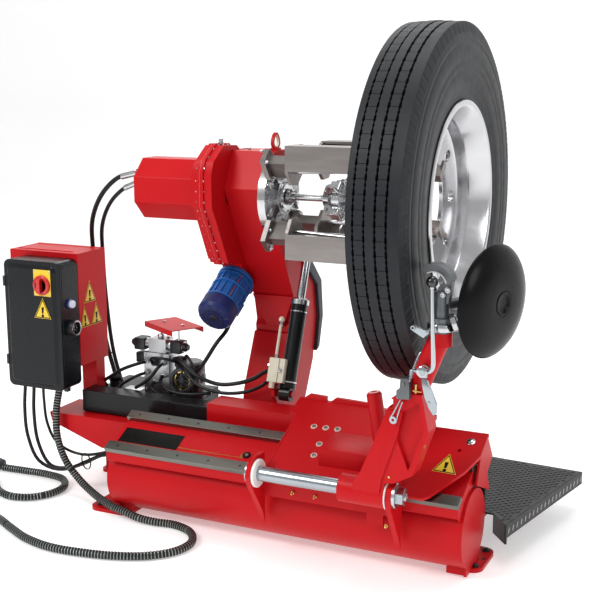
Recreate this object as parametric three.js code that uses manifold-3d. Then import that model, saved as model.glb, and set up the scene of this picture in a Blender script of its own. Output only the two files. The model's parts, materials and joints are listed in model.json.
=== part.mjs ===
// Truck tyre changer with a wheel clamped on its chuck. Millimetres, +Z up, +X along the chuck axis.
// The operator stands on the -Y side. Machine coordinates have X = 0 at the tyre's front shoulder and
// Y = 0 on the chuck axis; the whole group is shifted at the end so the footprint is centred.
import * as THREE from 'three';
import { mergeVertices } from 'three/addons/utils/BufferGeometryUtils.js';
import Module from 'manifold-3d';

const wasm = await Module();
wasm.setup();

// ---- driving dimensions ----
const SHIFT_X = 624;
const SHIFT_Y = 0;
const GAP = 0.3;
const AXIS_Z = 1040;
const TUBE = { y: -192, z: 132.5, r: 117.5, x0: -1052, x1: 116 };
const BED = { y0: -322, z0: 236, y1: -160, z1: 316, x0: -1052, x1: 116 };
const BED_ANGLE = Math.atan2(BED.z1 - BED.z0, BED.y1 - BED.y0);
const BEAM = { x0: -1298, x1: 60, y0: -100, y1: -30, z0: 278, z1: 352 };
const PIVOT = { y: 120, z: 200 };
const ARM = { x0: -760, x1: -610 };
const LIFT_BASE = { y: 0, z: 400 };
const LIFT_TOP = { y: 167, z: 851 };
const LIFT_X = -566;
const SHAFT = { y: -388, z: 273, r: 22 };
const TYRE_R = 527;
const RIM_HOLE = 140;
const TUBE_SIDES = 36;
const MOTOR_AT = [-797, 97, 743];
const MOTOR_TILT = 0.56;
const BORE = { spindle: 20, arm: 27, front: 26.7 };

// ---- materials ----
const material = (name, color, metalness, roughness) =>
  new THREE.MeshStandardMaterial({ name, color, metalness, roughness });
const PAINT = { red: 0xc8161c, redDark: 0xa8141a, blue: 0x1c5fa8, black: 0x16171a, grey: 0x4b4f55 };

// ---- solids ----
function tidy(geometry) {
  const g = geometry.clone();
  g.deleteAttribute('normal');
  g.deleteAttribute('uv');
  const merged = mergeVertices(g, 1e-4);
  const index = Array.from(merged.index.array);
  const kept = [];
  for (let i = 0; i < index.length; i += 3) {
    const [a, b, c] = [index[i], index[i + 1], index[i + 2]];
    if (a !== b && b !== c && c !== a) kept.push(a, b, c);
  }
  const p = merged.attributes.position;
  let volume = 0;
  const [va, vb, vc] = [new THREE.Vector3(), new THREE.Vector3(), new THREE.Vector3()];
  for (let i = 0; i < kept.length; i += 3) {
    va.fromBufferAttribute(p, kept[i]);
    vb.fromBufferAttribute(p, kept[i + 1]);
    vc.fromBufferAttribute(p, kept[i + 2]);
    volume += va.dot(vb.cross(vc));
  }
  if (volume < 0) {
    for (let i = 0; i < kept.length; i += 3) [kept[i + 1], kept[i + 2]] = [kept[i + 2], kept[i + 1]];
  }
  merged.setIndex(kept);
  return merged;
}

function toManifold(geometry) {
  const g = tidy(geometry);
  const vertProperties = new Float32Array(g.attributes.position.array);
  const triVerts = new Uint32Array(g.index.array);
  return new wasm.Manifold(new wasm.Mesh({ numProp: 3, vertProperties, triVerts }));
}

function fromManifold(solid) {
  const mesh = solid.getMesh();
  const g = new THREE.BufferGeometry();
  g.setAttribute('position', new THREE.BufferAttribute(new Float32Array(mesh.vertProperties), 3));
  g.setIndex(Array.from(mesh.triVerts));
  return g;
}

const union = (...parts) => fromManifold(parts.map(toManifold).reduce((a, b) => a.add(b)));
const cut = (body, ...tools) => fromManifold(tools.map(toManifold).reduce((a, b) => a.subtract(b),
    toManifold(body)));

function box(x0, x1, y0, y1, z0, z1) {
  return new THREE.BoxGeometry(x1 - x0, y1 - y0, z1 - z0).translate((x0 + x1) / 2, (y0 + y1) / 2,
      (z0 + z1) / 2);
}

const shapeOf = (points) => new THREE.Shape(points.map(([u, v]) => new THREE.Vector2(u, v)));

function extrude(points, depth) {
  return new THREE.ExtrudeGeometry(shapeOf(points), { depth, bevelEnabled: false, steps: 1 });
}

// Prisms with a (Y, Z), (X, Z) or (X, Y) outline, between two stations of the third axis.
function prismX(points, x0, x1) {
  const m = new THREE.Matrix4().set(0, 0, 1, x0, 1, 0, 0, 0, 0, 1, 0, 0, 0, 0, 0, 1);
  return extrude(points, x1 - x0).applyMatrix4(m);
}

function prismY(points, y0, y1) {
  const m = new THREE.Matrix4().set(1, 0, 0, 0, 0, 0, -1, y1, 0, 1, 0, 0, 0, 0, 0, 1);
  return extrude(points, y1 - y0).applyMatrix4(m);
}

const prismZ = (points, z0, z1) => extrude(points, z1 - z0).translate(0, 0, z0);

function cylX(r, x0, x1, y, z, sides = 24) {
  return new THREE.CylinderGeometry(r, r, x1 - x0, sides).rotateZ(-Math.PI / 2).translate((x0 + x1) / 2,
      y, z);
}

const cylY = (r, y0, y1, x, z, sides = 24) =>
  new THREE.CylinderGeometry(r, r, y1 - y0, sides).translate(x, (y0 + y1) / 2, z);

const cylZ = (r, z0, z1, x, y, sides = 24) =>
  new THREE.CylinderGeometry(r, r, z1 - z0, sides).rotateX(Math.PI / 2).translate(x, y, (z0 + z1) / 2);

// A round bar between two points.
function bar(from, to, r, sides = 16, rTop = r) {
  const a = new THREE.Vector3(...from);
  const b = new THREE.Vector3(...to);
  const g = new THREE.CylinderGeometry(rTop, r, a.distanceTo(b), sides);
  const q = new THREE.Quaternion().setFromUnitVectors(new THREE.Vector3(0, 1, 0),
      b.clone().sub(a).normalize());
  return g.applyQuaternion(q).translate((a.x + b.x) / 2, (a.y + b.y) / 2, (a.z + b.z) / 2);
}

// A turned piece about the X axis; the profile is [x, radius] pairs.
function turnX(profile, sides = 48) {
  const points = profile.map(([x, r]) => new THREE.Vector2(r, x));
  return new THREE.LatheGeometry(points, sides).rotateZ(-Math.PI / 2);
}

function tube(points, r, steps, sides = 8) {
  const ring = [];
  for (let i = 0; i < sides; i += 1) {
    const t = (2 * Math.PI * i) / sides;
    ring.push([r * Math.cos(t), r * Math.sin(t)]);
  }
  const path = new THREE.CatmullRomCurve3(points.map((p) => new THREE.Vector3(...p)), false, 'centripetal');
  return new THREE.ExtrudeGeometry(shapeOf(ring), { extrudePath: path, steps, bevelEnabled: false });
}

function roundedShape(x0, x1, y0, y1, r) {
  const shape = new THREE.Shape();
  shape.moveTo(x0 + r, y0).lineTo(x1 - r, y0).absarc(x1 - r, y0 + r, r, -Math.PI / 2, 0);
  shape.absarc(x1 - r, y1 - r, r, 0, Math.PI / 2).absarc(x0 + r, y1 - r, r, Math.PI / 2, Math.PI);
  return shape.absarc(x0 + r, y0 + r, r, Math.PI, 1.5 * Math.PI);
}

function roundedPlate(x0, x1, y0, y1, r, z0, z1) {
  const shape = roundedShape(x0, x1, y0, y1, r);
  return new THREE.ExtrudeGeometry(shape, { depth: z1 - z0, bevelEnabled: false, curveSegments: 5 })
    .translate(0, 0, z0);
}

// The same plate standing upright, with its outline in X and Z.
const uprightPlate = (x0, x1, z0, z1, r, y0, y1) =>
  roundedPlate(x0, x1, z0, z1, r, -y1, -y0).rotateX(Math.PI / 2);

function ngon(cy, cz, r, n, turn = 0) {
  const out = [];
  for (let i = 0; i < n; i += 1) {
    const t = turn + (2 * Math.PI * i) / n;
    out.push([cy + r * Math.cos(t), cz + r * Math.sin(t)]);
  }
  return out;
}

const root = new THREE.Group();
root.name = 'tyre_changer';

function place(parent, name, geometry, mat, x = 0, y = 0, z = 0) {
  const mesh = new THREE.Mesh(tidy(geometry), mat);
  mesh.name = name;
  mesh.position.set(x, y, z);
  parent.add(mesh);
  return mesh;
}

function group(parent, name, x = 0, y = 0, z = 0) {
  const g = new THREE.Group();
  g.name = name;
  g.position.set(x, y, z);
  parent.add(g);
  return g;
}

// ---- base ----
function baseTube() {
  const { y, z, r, x0, x1 } = TUBE;
  return cut(cylX(r, x0, x1, y, z, TUBE_SIDES), cylX(r - 8, x0 - 1, x1 + 1, y, z, TUBE_SIDES));
}

// End plate welded to a foot that carries the tube on a saddle.
function endFoot(xPlate0, xPlate1, footX0, footX1, footY0, footY1, saddleX0, saddleX1) {
  const { y, z, r } = TUBE;
  const disc = cylX(r, xPlate0, xPlate1, y, z, TUBE_SIDES);
  const foot = roundedPlate(footX0, footX1, footY0, footY1, 34, 0, 12);
  const web = box(xPlate0, xPlate1, y - 60, y + 60, 6, 40);
  const saddle = box(saddleX0, saddleX1, y - 52, y + 52, 6, 36);
  const groove = cylX(r + GAP, Math.min(saddleX0, xPlate1) - 0.01, Math.max(saddleX1, xPlate0) + 0.01,
      y, z, TUBE_SIDES);
  return union(disc, foot, web, cut(saddle, groove));
}

function bedOutline(t) {
  return [
    [BED.y0 + 4 + t, 206 - t],
    [BED.y0 + t, BED.z0 - t * 0.6],
    [BED.y1, BED.z1 - t * 1.1],
    [-135 - t, 306 - t * 0.5],
    [-135 - t, 190 - t],
    [-192, 150],
    [-280, 170 - t],
  ];
}

function railBed() {
  const { y, z, r } = TUBE;
  const shell = prismX(bedOutline(0), BED.x0, BED.x1);
  const hollow = prismX(bedOutline(6), BED.x0 - 1, BED.x1 - 6);
  return cut(shell, hollow, cylX(r + GAP, BED.x0 - 2, BED.x1 + 2, y, z, TUBE_SIDES));
}

// A flat bar lying on the slope of the bed, s along the slope and n off it.
function slopeBar(s0, s1, n0, n1, x0, x1) {
  const at = (s, n) => [
    BED.y0 + s * Math.cos(BED_ANGLE) - n * Math.sin(BED_ANGLE),
    BED.z0 + s * Math.sin(BED_ANGLE) + n * Math.cos(BED_ANGLE),
  ];
  return prismX([at(s0, n0), at(s1, n0), at(s1, n1), at(s0, n1)], x0, x1);
}

// A plate with an (x, s) outline on the same slope, between two heights off it.
function slopePlate(points, n0, n1) {
  const g = extrude(points, n1 - n0).translate(0, 0, n0);
  const m = new THREE.Matrix4().makeRotationX(BED_ANGLE).setPosition(0, BED.y0, BED.z0);
  return g.applyMatrix4(m);
}

function slideBeam() {
  const { x0, x1, y0, y1, z0, z1 } = BEAM;
  return cut(box(x0, x1, y0, y1, z0, z1), box(x0 - 1, x1 + 1, y0 + 6, y1 - 6, z0 + 6, z1 - 6));
}

// Rear frame: cross member, two cheeks for the arm pivot, the stub for the lift cylinder and the beam's
// stand.
function pivotFrame() {
  const { y, z } = PIVOT;
  const cheek = [[-24, 12], [-24, 170], [y - 62, z + 30], [y - 30, z + 62], [y + 30, z + 62], [y + 66,
      z + 20],
    [y + 120, 12]];
  const liftCheek = [[-24, 12], [-24, 170], [10, 300], [-10, 376], [-27, 392], [-27, 415], [-12, 427],
      [12, 427],
    [27, 415], [27, 385], [y - 30, z + 62], [y + 30, z + 62], [y + 66, z + 20], [y + 120, 12]];
  const hole = cylX(22 + GAP, -900, -500, y, z);
  const body = union(
    roundedPlate(-840, -540, -62, 330, 30, 0, 12.5),
    prismX(cheek, -794, -774),
    prismX(liftCheek, -608, -596.5),
    box(-1330, -540, 70, 150, 12, 119),
    cylX(12, -597, -542, LIFT_BASE.y, LIFT_BASE.z),
    box(-826, -790, -90, 75, 60, 118),
    box(-580, -544, -90, 75, 60, 118),
    roundedPlate(-1340, -1240, 50, 240, 20, 0, 12.5),
    box(-1330, -1250, 70, 150, 12, 30),
    box(-1330, -940, 30, 230, 108, 119),
  );
  return cut(body, hole, cylX(TUBE.r + GAP, -2000, 500, TUBE.y, TUBE.z, TUBE_SIDES));
}

// Stand at the right end of the slide beam, welded on the tube.
function beamStand() {
  const body = union(
    prismX([[-112, 150], [-112, 277.6], [-24, 277.6], [-24, 200], [-60, 110], [-150, 110]], 0, 16),
    prismX([[-112, 260], [-112, 277.6], [-24, 277.6], [-24, 260]], -10, 26),
  );
  return cut(body, cylX(TUBE.r + GAP, -2000, 500, TUBE.y, TUBE.z, TUBE_SIDES));
}

// ---- control side ----
const BRACKET = { x0: -1560, x1: -1280, y0: -123, y1: 36, z0: 443, z1: 828 };
const CASE_CORNER = 22;
const CASE = { x0: -1508, x1: -1281, y0: -212, y1: -123.4, z0: 377, z1: 812 };

function controlPost() {
  const { x0, x1, y0, y1, z0, z1 } = BRACKET;
  const shell = cut(box(x0, x1, y0, y1, z0, z1), box(x0 + 4, x1 - 4, y0 + 4, y1 + 1, z0 + 4, z1 - 4));
  const post = box(-1345, -1285, -30, 20, 200, 600);
  const leg = prismY([[-1400, 268], [-1392, 240], [-1190, 172], [-1064, 172], [-1064, 274], [-1400,
      274]], -150, 20);
  const hollowLeg = prismY([[-1380, 262], [-1370, 246], [-1190, 184], [-1063, 184], [-1063, 262]], -142, 12);
  return cut(union(shell, post, leg), hollowLeg);
}

function controlCase() {
  const { x0, x1, y0, y1, z0, z1 } = CASE;
  const shell = uprightPlate(x0, x1, z0, z1, CASE_CORNER, y0, y1);
  return cut(shell, uprightPlate(x0 + 4, x1 - 4, z0 + 4, z1 - 4, CASE_CORNER - 4, y0 - 1, y1 - 4));
}

// Door pan with rounded corners and a raised middle with sloping edges.
function caseDoor() {
  const { x0, x1, z0, z1 } = CASE;
  const pan = uprightPlate(x0, x1, z0, z1, CASE_CORNER, -223, -213);
  const middle = roundedShape(x0 + 24, x1 - 24, z0 + 24, z1 - 24, 12);
  const raised = new THREE.ExtrudeGeometry(middle,
    { depth: 2, bevelThickness: 9, bevelSize: 9, bevelSegments: 1, curveSegments: 5 });
  raised.translate(0, 0, 223 - 2).rotateX(Math.PI / 2);
  const inside = uprightPlate(x0 + 6, x1 - 6, z0 + 6, z1 - 6, CASE_CORNER - 6, -221, -211);
  return cut(union(pan, raised), inside);
}

function isolatorKnob() {
  return union(cylY(23, -245, -232.4, 0, 0, 24), box(-7, 7, -259, -244, -23, 23));
}

// ---- power unit ----
// The tank is a shell, open underneath, with a rim round its top.
function oilTank() {
  const body = union(box(-1325, -945, 32, 228, 119.4, 322), box(-1330, -940, 27, 233, 300, 308));
  return cut(
    union(body, cylZ(20, 320, 344, -1285, 80, 20)),
    box(-1320, -950, 37, 223, 118, 314));
}

function valveBlock() {
  const block = box(-1136, -1036, 42, 112, 322.4, 470);
  const valve = (z) => union(cylX(19, -1180, -992, 77, z, 20), box(-1120, -1052, 50, 104, z - 24, z + 24));
  return union(block, valve(495), box(-1110, -1062, 56, 98, 460, 500));
}

function pumpMotor() {
  return union(
    cylZ(50, 334, 440, -972, 80, 28),
    cylZ(54, 322.4, 336, -972, 80, 28),
    cylX(30, -1010, -925, 70, 392, 24),
  );
}

function powerCover() {
  const plate = union(box(-98, 98, -62, 62, 0, 3), box(-98, 98, -62, -59, -16, 2), box(-98, 98, 59, 62,
      -16, 2));
  const posts = union(cylZ(5, -46, 1, -40, 0, 10));
  return union(plate, posts).rotateZ(-0.52);
}

// ---- chuck arm ----
const ARM_FRONT = [[10, 1178], [-50, 1062], [153, 682], [172, 600], [72, 376], [50, 240], [60, 200]];
const ARM_BACK = [[180, 200], [190, 240], [232, 300], [306, 445], [334, 590], [314, 707], [213, 798],
    [135, 960],
  [135, 1178]];

function armOutline() {
  const foot = [];
  for (let i = 0; i <= 8; i += 1) {
    const t = Math.PI + (Math.PI * i) / 8;
    foot.push([PIVOT.y + 60 * Math.cos(t), PIVOT.z + 60 * Math.sin(t)]);
  }
  return [...ARM_FRONT.slice(0, 6), ...foot, ...ARM_BACK.slice(1)];
}

function inset(points, cy, cz, d) {
  return points.map(([y, z]) => {
    const l = Math.hypot(y - cy, z - cz);
    return [y - ((y - cy) * d) / l, z - ((z - cz) * d) / l];
  });
}

// Welded box arm: skins of 12 mm with an open inspection hole at the back, a boss for the pivot pin, a
// through
// bore for the spindle, a flat boss for the lift rod's pin and the trimmed front plate over the knee.
function armBox() {
  const skin = prismX(armOutline(), ARM.x0, ARM.x1);
  const upperRoom = prismX([[36, 930], [120, 935], [200, 782], [296, 700], [316, 590], [184, 590], [171,
      676]],
    ARM.x0 + 12, ARM.x1 - 12);
  const lowerRoom = prismX([[178, 578], [314, 578], [290, 450], [220, 312], [186, 290], [80, 290], [92,
      380]],
    ARM.x0 + 12, ARM.x1 - 12);
  const hatch = box(ARM.x0 + 45, ARM.x1 - 45, 200, 420, 500, 650);
  const tab = prismY([[-760, 690], [-712, 584], [-652, 584], [-610, 690]], 118, 160);
  const shear = prismX([[153, 682], [166, 560], [60, 560], [60, 682]], ARM.x0 - 1, ARM.x1 + 1);
  const tabPlate = fromManifold(toManifold(tab).intersect(
    toManifold(prismX([[149, 700], [141, 690], [154, 584], [166, 584], [166, 620]], ARM.x0, ARM.x1))));
  const boss = cylX(26, ARM.x1 - 2, LIFT_X - 20, LIFT_TOP.y, LIFT_TOP.z);
  const pinHole = cylX(22 + GAP, -900, -500, PIVOT.y, PIVOT.z);
  const bore = cylX(BORE.arm, -900, -500, 0, AXIS_Z);
  const body = union(cut(skin, upperRoom, lowerRoom, hatch), boss);
  return cut(union(body, tabPlate), pinHole, bore, cut(shear, tab, prismX([[150, 690], [178, 600], [178,
      540],
    [240, 540], [240, 690]], ARM.x0 - 2, ARM.x1 + 2)));
}

// Bent pad that follows the back of the knee.
function kneeGuard() {
  const inner = [[214.6, 798.8], [315.4, 707.6], [335, 590], [312.6, 470]];
  const outer = [[336, 482], [366, 588], [352, 716], [240, 828]];
  return prismX([...inner, ...outer], -759.6, -598);
}

const GEAR = { x0: -835, seam: -800, x1: ARM.x0 - GAP };
const GEAR_OUTLINE = [[-46, 1202], [42, 1199], [100, 1160], [128, 1030], [134, 860], [156, 768], [150, 692],
  [133, 685], [61, 800], [-26, 812], [-106, 960], [-133, 1010], [-133, 1112], [-116, 1154]];
const GEAR_MIDDLE = [0, 960];

// Space kept clear in front of the motor's mounting facet.
function motorSpace() {
  return cylZ(66, -200, -0.1, 0, 0).rotateX(-Math.PI / 2 + MOTOR_TILT).translate(...MOTOR_AT);
}

// Front half of the worm box, hollow, with a bore for the spindle and a bolting rim at the seam.
function gearCase() {
  const [cy, cz] = GEAR_MIDDLE;
  return cut(
    union(prismX(inset(GEAR_OUTLINE, cy, cz, 6), GEAR.seam, GEAR.x1), prismX(GEAR_OUTLINE, GEAR.seam,
        GEAR.seam + 12)),
    prismX(inset(GEAR_OUTLINE, cy, cz, 16), GEAR.seam - 1, -777),
    cylX(40, -900, -700, 0, AXIS_Z),
    motorSpace(),
  );
}

// Rear half: bolting rim and a chamfered cover.
function gearCover() {
  const [cy, cz] = GEAR_MIDDLE;
  return cut(
    union(
      prismX(GEAR_OUTLINE, GEAR.seam - 12, GEAR.seam - GAP),
      prismX(inset(GEAR_OUTLINE, cy, cz, 6), GEAR.x0 + 9, GEAR.seam - 11),
      prismX(inset(GEAR_OUTLINE, cy, cz, 16), GEAR.x0, GEAR.x0 + 10),
    ),
    prismX(inset(GEAR_OUTLINE, cy, cz, 24), GEAR.x0 + 8, GEAR.seam),
    cylX(40, -930, -800, 0, AXIS_Z),
    motorSpace(),
  );
}

function unionHousing() {
  return cut(prismX(ngon(0, 1051, 106, 8, Math.PI / 8), -1066, GEAR.x0 - GAP),
    prismX(ngon(0, 1051, 96, 8, Math.PI / 8), -1060, -800));
}

// Gear motor, made along -Z; its axis tilts down towards the operator.
function motorBody() {
  const fins = [];
  for (let i = 0; i < 16; i += 1) {
    const t = (2 * Math.PI * (i + 0.5)) / 16;
    fins.push(box(54, 61, -1.6, 1.6, -128, -26).rotateZ(t));
  }
  return union(cylZ(56, -132, -12, 0, 0), cylZ(64, -14, -0.4, 0, 0), box(-28, 28, 40, 74, -100, -44),
      ...fins);
}

function fanCover() {
  const cowl = turnX([[-192, 0], [-192, 34], [-186, 54], [-174, 62], [-132.4, 62], [-132.4, 0]], 24)
    .rotateY(-Math.PI / 2);
  return cowl;
}

function liftingRing() {
  const points = [];
  for (let i = 0; i <= 16; i += 1) {
    const t = (2 * Math.PI * i) / 16;
    points.push([(24 - 7 * Math.sin(t)) * Math.cos(t), 26 * Math.sin(t)]);
  }
  const outer = prismX(points.slice(0, 16).map(([y, z]) => [y * 1.0, z * 1.0]), -5, 5);
  const inner = prismX(points.slice(0, 16).map(([y, z]) => [y * 0.68, z * 0.74]), -6, 6);
  return union(cut(outer, inner), box(-12, 12, -14, 14, -32, -22));
}

// ---- chuck, about its own axis ----
function spindle() {
  const r = BORE.spindle;
  return turnX([[-1050, 0], [-1050, 18], [-900, 18], [-900, r], [-608, r], [-608, 60], [-604, 60], [-604, r],
    [-577, r], [-577, 10], [-350, 10], [-350, 0]], 24);
}

function bearing(x0, x1, rIn, rOut) {
  return turnX([[x0, rIn], [x1, rIn], [x1, rOut - 2], [x1 - 2, rOut], [x0 + 2, rOut], [x0, rOut - 2],
      [x0, rIn]], 24);
}

function wormWheel() {
  const teeth = 18;
  const outline = [];
  for (let i = 0; i < teeth; i += 1) {
    const t = (2 * Math.PI * i) / teeth;
    const half = Math.PI / teeth;
    outline.push([77 * Math.cos(t - half * 0.35), 77 * Math.sin(t - half * 0.35)]);
    outline.push([77 * Math.cos(t + half * 0.35), 77 * Math.sin(t + half * 0.35)]);
    outline.push([67 * Math.cos(t + half * 0.8), 67 * Math.sin(t + half * 0.8)]);
    outline.push([67 * Math.cos(t + half * 1.2), 67 * Math.sin(t + half * 1.2)]);
  }
  return cut(prismX(outline, -812, -786), cylX(BORE.spindle + GAP, -900, -700, 0, 0));
}

function chuckFlange() {
  const disc = cylX(125, -603.6, -578, 0, 0, 36);
  const hub = cylX(58, -579, -566, 0, 0);
  const slots = [0, 1, 2, 3].map((i) => box(-590, -577, -12.5, 12.5, 46,
      140).rotateX(Math.PI / 4 + (i * Math.PI) / 2));
  return cut(union(disc, hub), cylX(24 + GAP, -620, -560, 0, 0, 32), ...slots);
}

// One jaw, made for the +Z direction: foot plate with a key in the flange's slot, an angle-section beam
// whose
// corner points outwards, and a stepped tip that grips the rim's centre hole.
const JAW = { corner: 240, leg: 76, wall: 8, x0: -488, x1: -132 };

function jaw() {
  const c = JAW.corner;
  const l = JAW.leg * Math.SQRT1_2;
  const w = JAW.wall * Math.SQRT2;
  const angle = [[0, c], [-l, c - l], [-l + w / 2, c - l - w / 2], [0, c - w], [l - w / 2,
      c - l - w / 2], [l, c - l]];
  const beam = prismX(angle, JAW.x0, JAW.x1);
  const foot = prismX([[-30, 104], [30, 104], [38, 124], [26, 196], [-26, 196], [-38, 124]], -577.6, -562);
  const key = box(-589, -577, -12, 12, 96, 122);
  const spacer = box(-563, -480, -16, 16, 110, 176);
  const end = prismX([[0, 234], [54, 180], [62, 134], [34, 102], [-34, 102], [-62, 134], [-54, 180]],
      -490, -479);
  const post = box(-150, -118, -14, 14, 96, 222);
  const grip = box(-119, -84, -14, 14, 96, 138);
  const lip = box(-92, -84, -14, 14, 96, 158);
  const plate = cut(end, cylX(7, -495, -470, 0, 196, 12));
  return union(beam, foot, key, spacer, plate, post, grip, lip);
}

function spider() {
  const bore = 10 + GAP;
  const hub = turnX([[-430, bore], [-352, bore], [-352, 24], [-372, 38], [-396, 38], [-412, 26], [-430, 26],
    [-430, bore]], 24);
  const ribs = [0, 1, 2, 3].map((i) => union(
    prismY([[-428, 20], [-356, 22], [-362, 64], [-384, 70], [-410, 60]], -6, 6),
    box(-392, -366, -14, 14, 58, 70),
  ).rotateX(Math.PI / 4 + (i * Math.PI) / 2));
  return union(hub, ...ribs);
}

// Tyre section from bead to bead: five ribs, four grooves.
function tyre() {
  const x0 = -146;
  const ribs = [[0, 29], [38, 58], [67, 79], [88, 108], [117, 146]];
  const tread = [];
  ribs.forEach(([a, b], i) => {
    const crown = TYRE_R - 2 * Math.abs(i - 2);
    tread.push([x0 + a, crown], [x0 + b, crown]);
    if (i < 4) tread.push([x0 + (b + ribs[i + 1][0]) / 2, TYRE_R - 16]);
  });
  const front = [[8, 495], [14, 462], [15, 400], [6, 332], [0, 296.2]];
  const back = front.map(([x, r]) => [x0 - x, r]).reverse();
  const inside = [[-14, 296.2], [0, 400], [-18, 490], [-128, 490], [-146, 400], [-132, 296.2]];
  return turnX([...back, ...tread, ...front, ...inside, back[0]], 40);
}

function wheelRim() {
  const section = [[10, 288], [10, 302], [6, 306], [1.5, 304], [1, 295.7], [-14, 295.7], [-56, 264],
    [-98, 264], [-132, 295.7], [-147, 295.7], [-147.5, 304], [-152, 306], [-156, 302], [-156, 288],
    [-106, 256], [-116, 190], [-112, RIM_HOLE], [-100, RIM_HOLE], [-102, 190], [-88, 252], [-54, 254],
        [10, 288]];
  const holes = [];
  for (let i = 0; i < 10; i += 1) holes.push(cylX(17, -140, -70, 0, 218, 8).rotateX((i * 2 * Math.PI) / 10));
  return cut(turnX(section, 40), ...holes);
}

// ---- lift cylinder, made along +Z from its base pin ----
const LIFT_LEN = Math.hypot(LIFT_TOP.y - LIFT_BASE.y, LIFT_TOP.z - LIFT_BASE.z);

function liftBarrel() {
  const body = turnX([[18, 0], [18, 26], [292, 26], [292, 28], [312, 28], [312, 14 + GAP], [290, 14 + GAP],
    [290, 20], [34, 20], [34, 0]], 24).rotateY(-Math.PI / 2);
  const eye = cylX(24, -18, 18, 0, 0);
  return cut(union(body, eye), cylX(12 + GAP, -30, 30, 0, 0));
}

function liftRod() {
  const top = LIFT_LEN;
  const rod = cylZ(14, 50, top - 14, 0, 0);
  const piston = cylZ(20 - GAP, 36, 56, 0, 0);
  const eye = cylX(22, -17, 17, 0, top);
  const pin = cylX(11, -20 + GAP, 24, 0, top, 20);
  return union(rod, piston, eye, pin);
}

// Lock valve clamped to the barrel, with its pipe and ball fitting.
function lockValve() {
  const block = cut(box(-52, 0, -46, -12, 30, 108), cylZ(26 + GAP, 0, 200, 0, 0, 32));
  return union(
    box(-54, -20, -50, -27, 30, 108),
    block,
    cylZ(5, 100, 232, -38, -38, 10),
    new THREE.SphereGeometry(10, 12, 8).translate(-38, -38, 236),
    cylZ(9, 10, 32, -38, -40, 10),
  );
}

// ---- carriage ----
// Sloping plate over the rails with pads under it, front apron, side brackets for the pivot shaft,
// crest plates,
// a stop post and a square sleeve around the slide beam.
function carriageBody() {
  const slope = [[-335, 250], [-346, 250], [-346, 262], [-52, 407], [-34, 407], [-34, 394], [-50, 390.6]];
  const bracket = [[-335, 96], [-350, 140], [-424, 246], [-432, 272], [-420, 304], [-390, 322], [-335, 322]];
  const sleeve = cut(box(-798, -470, -114, -16, 264, 370),
    box(-799, -469, BEAM.y0 - 4, BEAM.y1 + 4, BEAM.z0 - 4, BEAM.z1 + 4));
  const body = union(
    prismX(slope, -478, -44),
    box(-478, -44, -346, -335, 190, 262),
    box(-146, -96, -346, -335.5, 158, 200),
    prismY([[-478, 380], [-404, 380], [-404, 422], [-462, 424], [-478, 412]], -46, -34),
    prismY([[-390, 380], [-210, 380], [-210, 400], [-240, 418], [-372, 422], [-390, 408]], -46, -34),
    prismX(bracket, -492, -476),
    prismX([[-335, 90], [-346, 120], [-420, 240], [-428, 270], [-416, 300], [-388, 312], [-335, 312]],
        -62, -46),
    prismX([[-114, 360], [-114, 378], [-34, 407], [-16, 396], [-16, 360]], -500, -468),
    sleeve,
    slopeBar(0, 34, 16.6, 24.5, -474, -50),
    slopeBar(146, 180, 16.6, 24.5, -474, -50),
    bar([-128, -250, 290], [-166, -250, 520], 19),
  );
  return cut(body, cylX(SHAFT.r + GAP, -600, 100, SHAFT.y, SHAFT.z),
    bar([-160, -250, 482], [-167, -250, 526], 9, 12));
}

// Right-hand cover plate over the rails: diagonal lower edge, folded skirt on the end and a bridge to
// the hanger.
function carriageHood() {
  const face = [[-43.7, -12], [20, -12], [36, 2], [106, 111], [133, 180], [133, 275], [-43.7, 275]];
  const skirt = [[-100, 386], [-39, 305], [-91, 271], [-65, 208], [-198, 265], [-168, 336], [-160, 352]];
  const web = box(66, 127, -118, -110, 318, 371);
  const bridge = box(66, 104, -118, -16, 318, 330);
  const plate = cut(slopePlate(face, 24, 34), slopePlate(ngon(68, 192, 6, 12), 20, 40));
  return union(plate, prismX(skirt, 126.5, 132.5), web, bridge);
}

function pivotShaft() {
  const { r } = SHAFT;
  return union(cylX(r, -500, -24, 0, 0), cylX(34, -500.5, -492.4, 0, 0), cylX(34, -45.6, -37, 0, 0),
    cylX(27, -37.5, -16, 0, 0, 6));
}

// Checker plate platform: folded lip on the outer edge, short skirt on the inner corner, arms up to the
// carriage.
function platform() {
  const top = [[142, -46], [198, -116], [308, 428], [-20, 452], [-20, -46]];
  const lip = [[196, -120], [202, -118], [312, 430], [306, 432]];
  const inner = [[142, -46], [198, -116], [203, -112], [146, -42]];
  return union(
    prismZ(top, 122, 128),
    prismZ(lip, 86, 127),
    prismZ(inner, 66, 127),
    box(66, 104, -12, 260, 92, 123),
    box(66, 104, -12, 0, 92, 330),
    box(66, 104, -15.7, 0, 296, 330),
  );
}

// ---- tool ----
const NECK_FROM = [4, 0, 290];
const NECK_TO = [76, 0, 476];

function toolArm() {
  const plate = [[-160, -22], [-160, 36], [-134, 70], [-72, 226], [-48, 290], [-16, 306], [36, 306],
      [58, 205],
    [14, 76], [-40, 48], [-67, 43], [-67, -22]];
  const column = prismY(plate, -34, 34);
  const sleeve = cylX(41, -206, -66.5, 0, 0);
  const neck = bar(NECK_FROM, [NECK_TO[0] - 6, 0, NECK_TO[2] - 20], 30);
  const collar = cylZ(30, NECK_TO[2] - 36, NECK_TO[2], NECK_TO[0], 0);
  const notch = box(-70, -44, -40, 40, 262, 286);
  const recess = prismY([[-26, 246], [30, 286], [44, 206], [2, 90], [-30, 170]], -36, -20);
  return cut(union(cut(column, recess), sleeve, neck, collar), cylX(SHAFT.r + GAP, -300, 60, 0, 0), notch);
}

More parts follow.
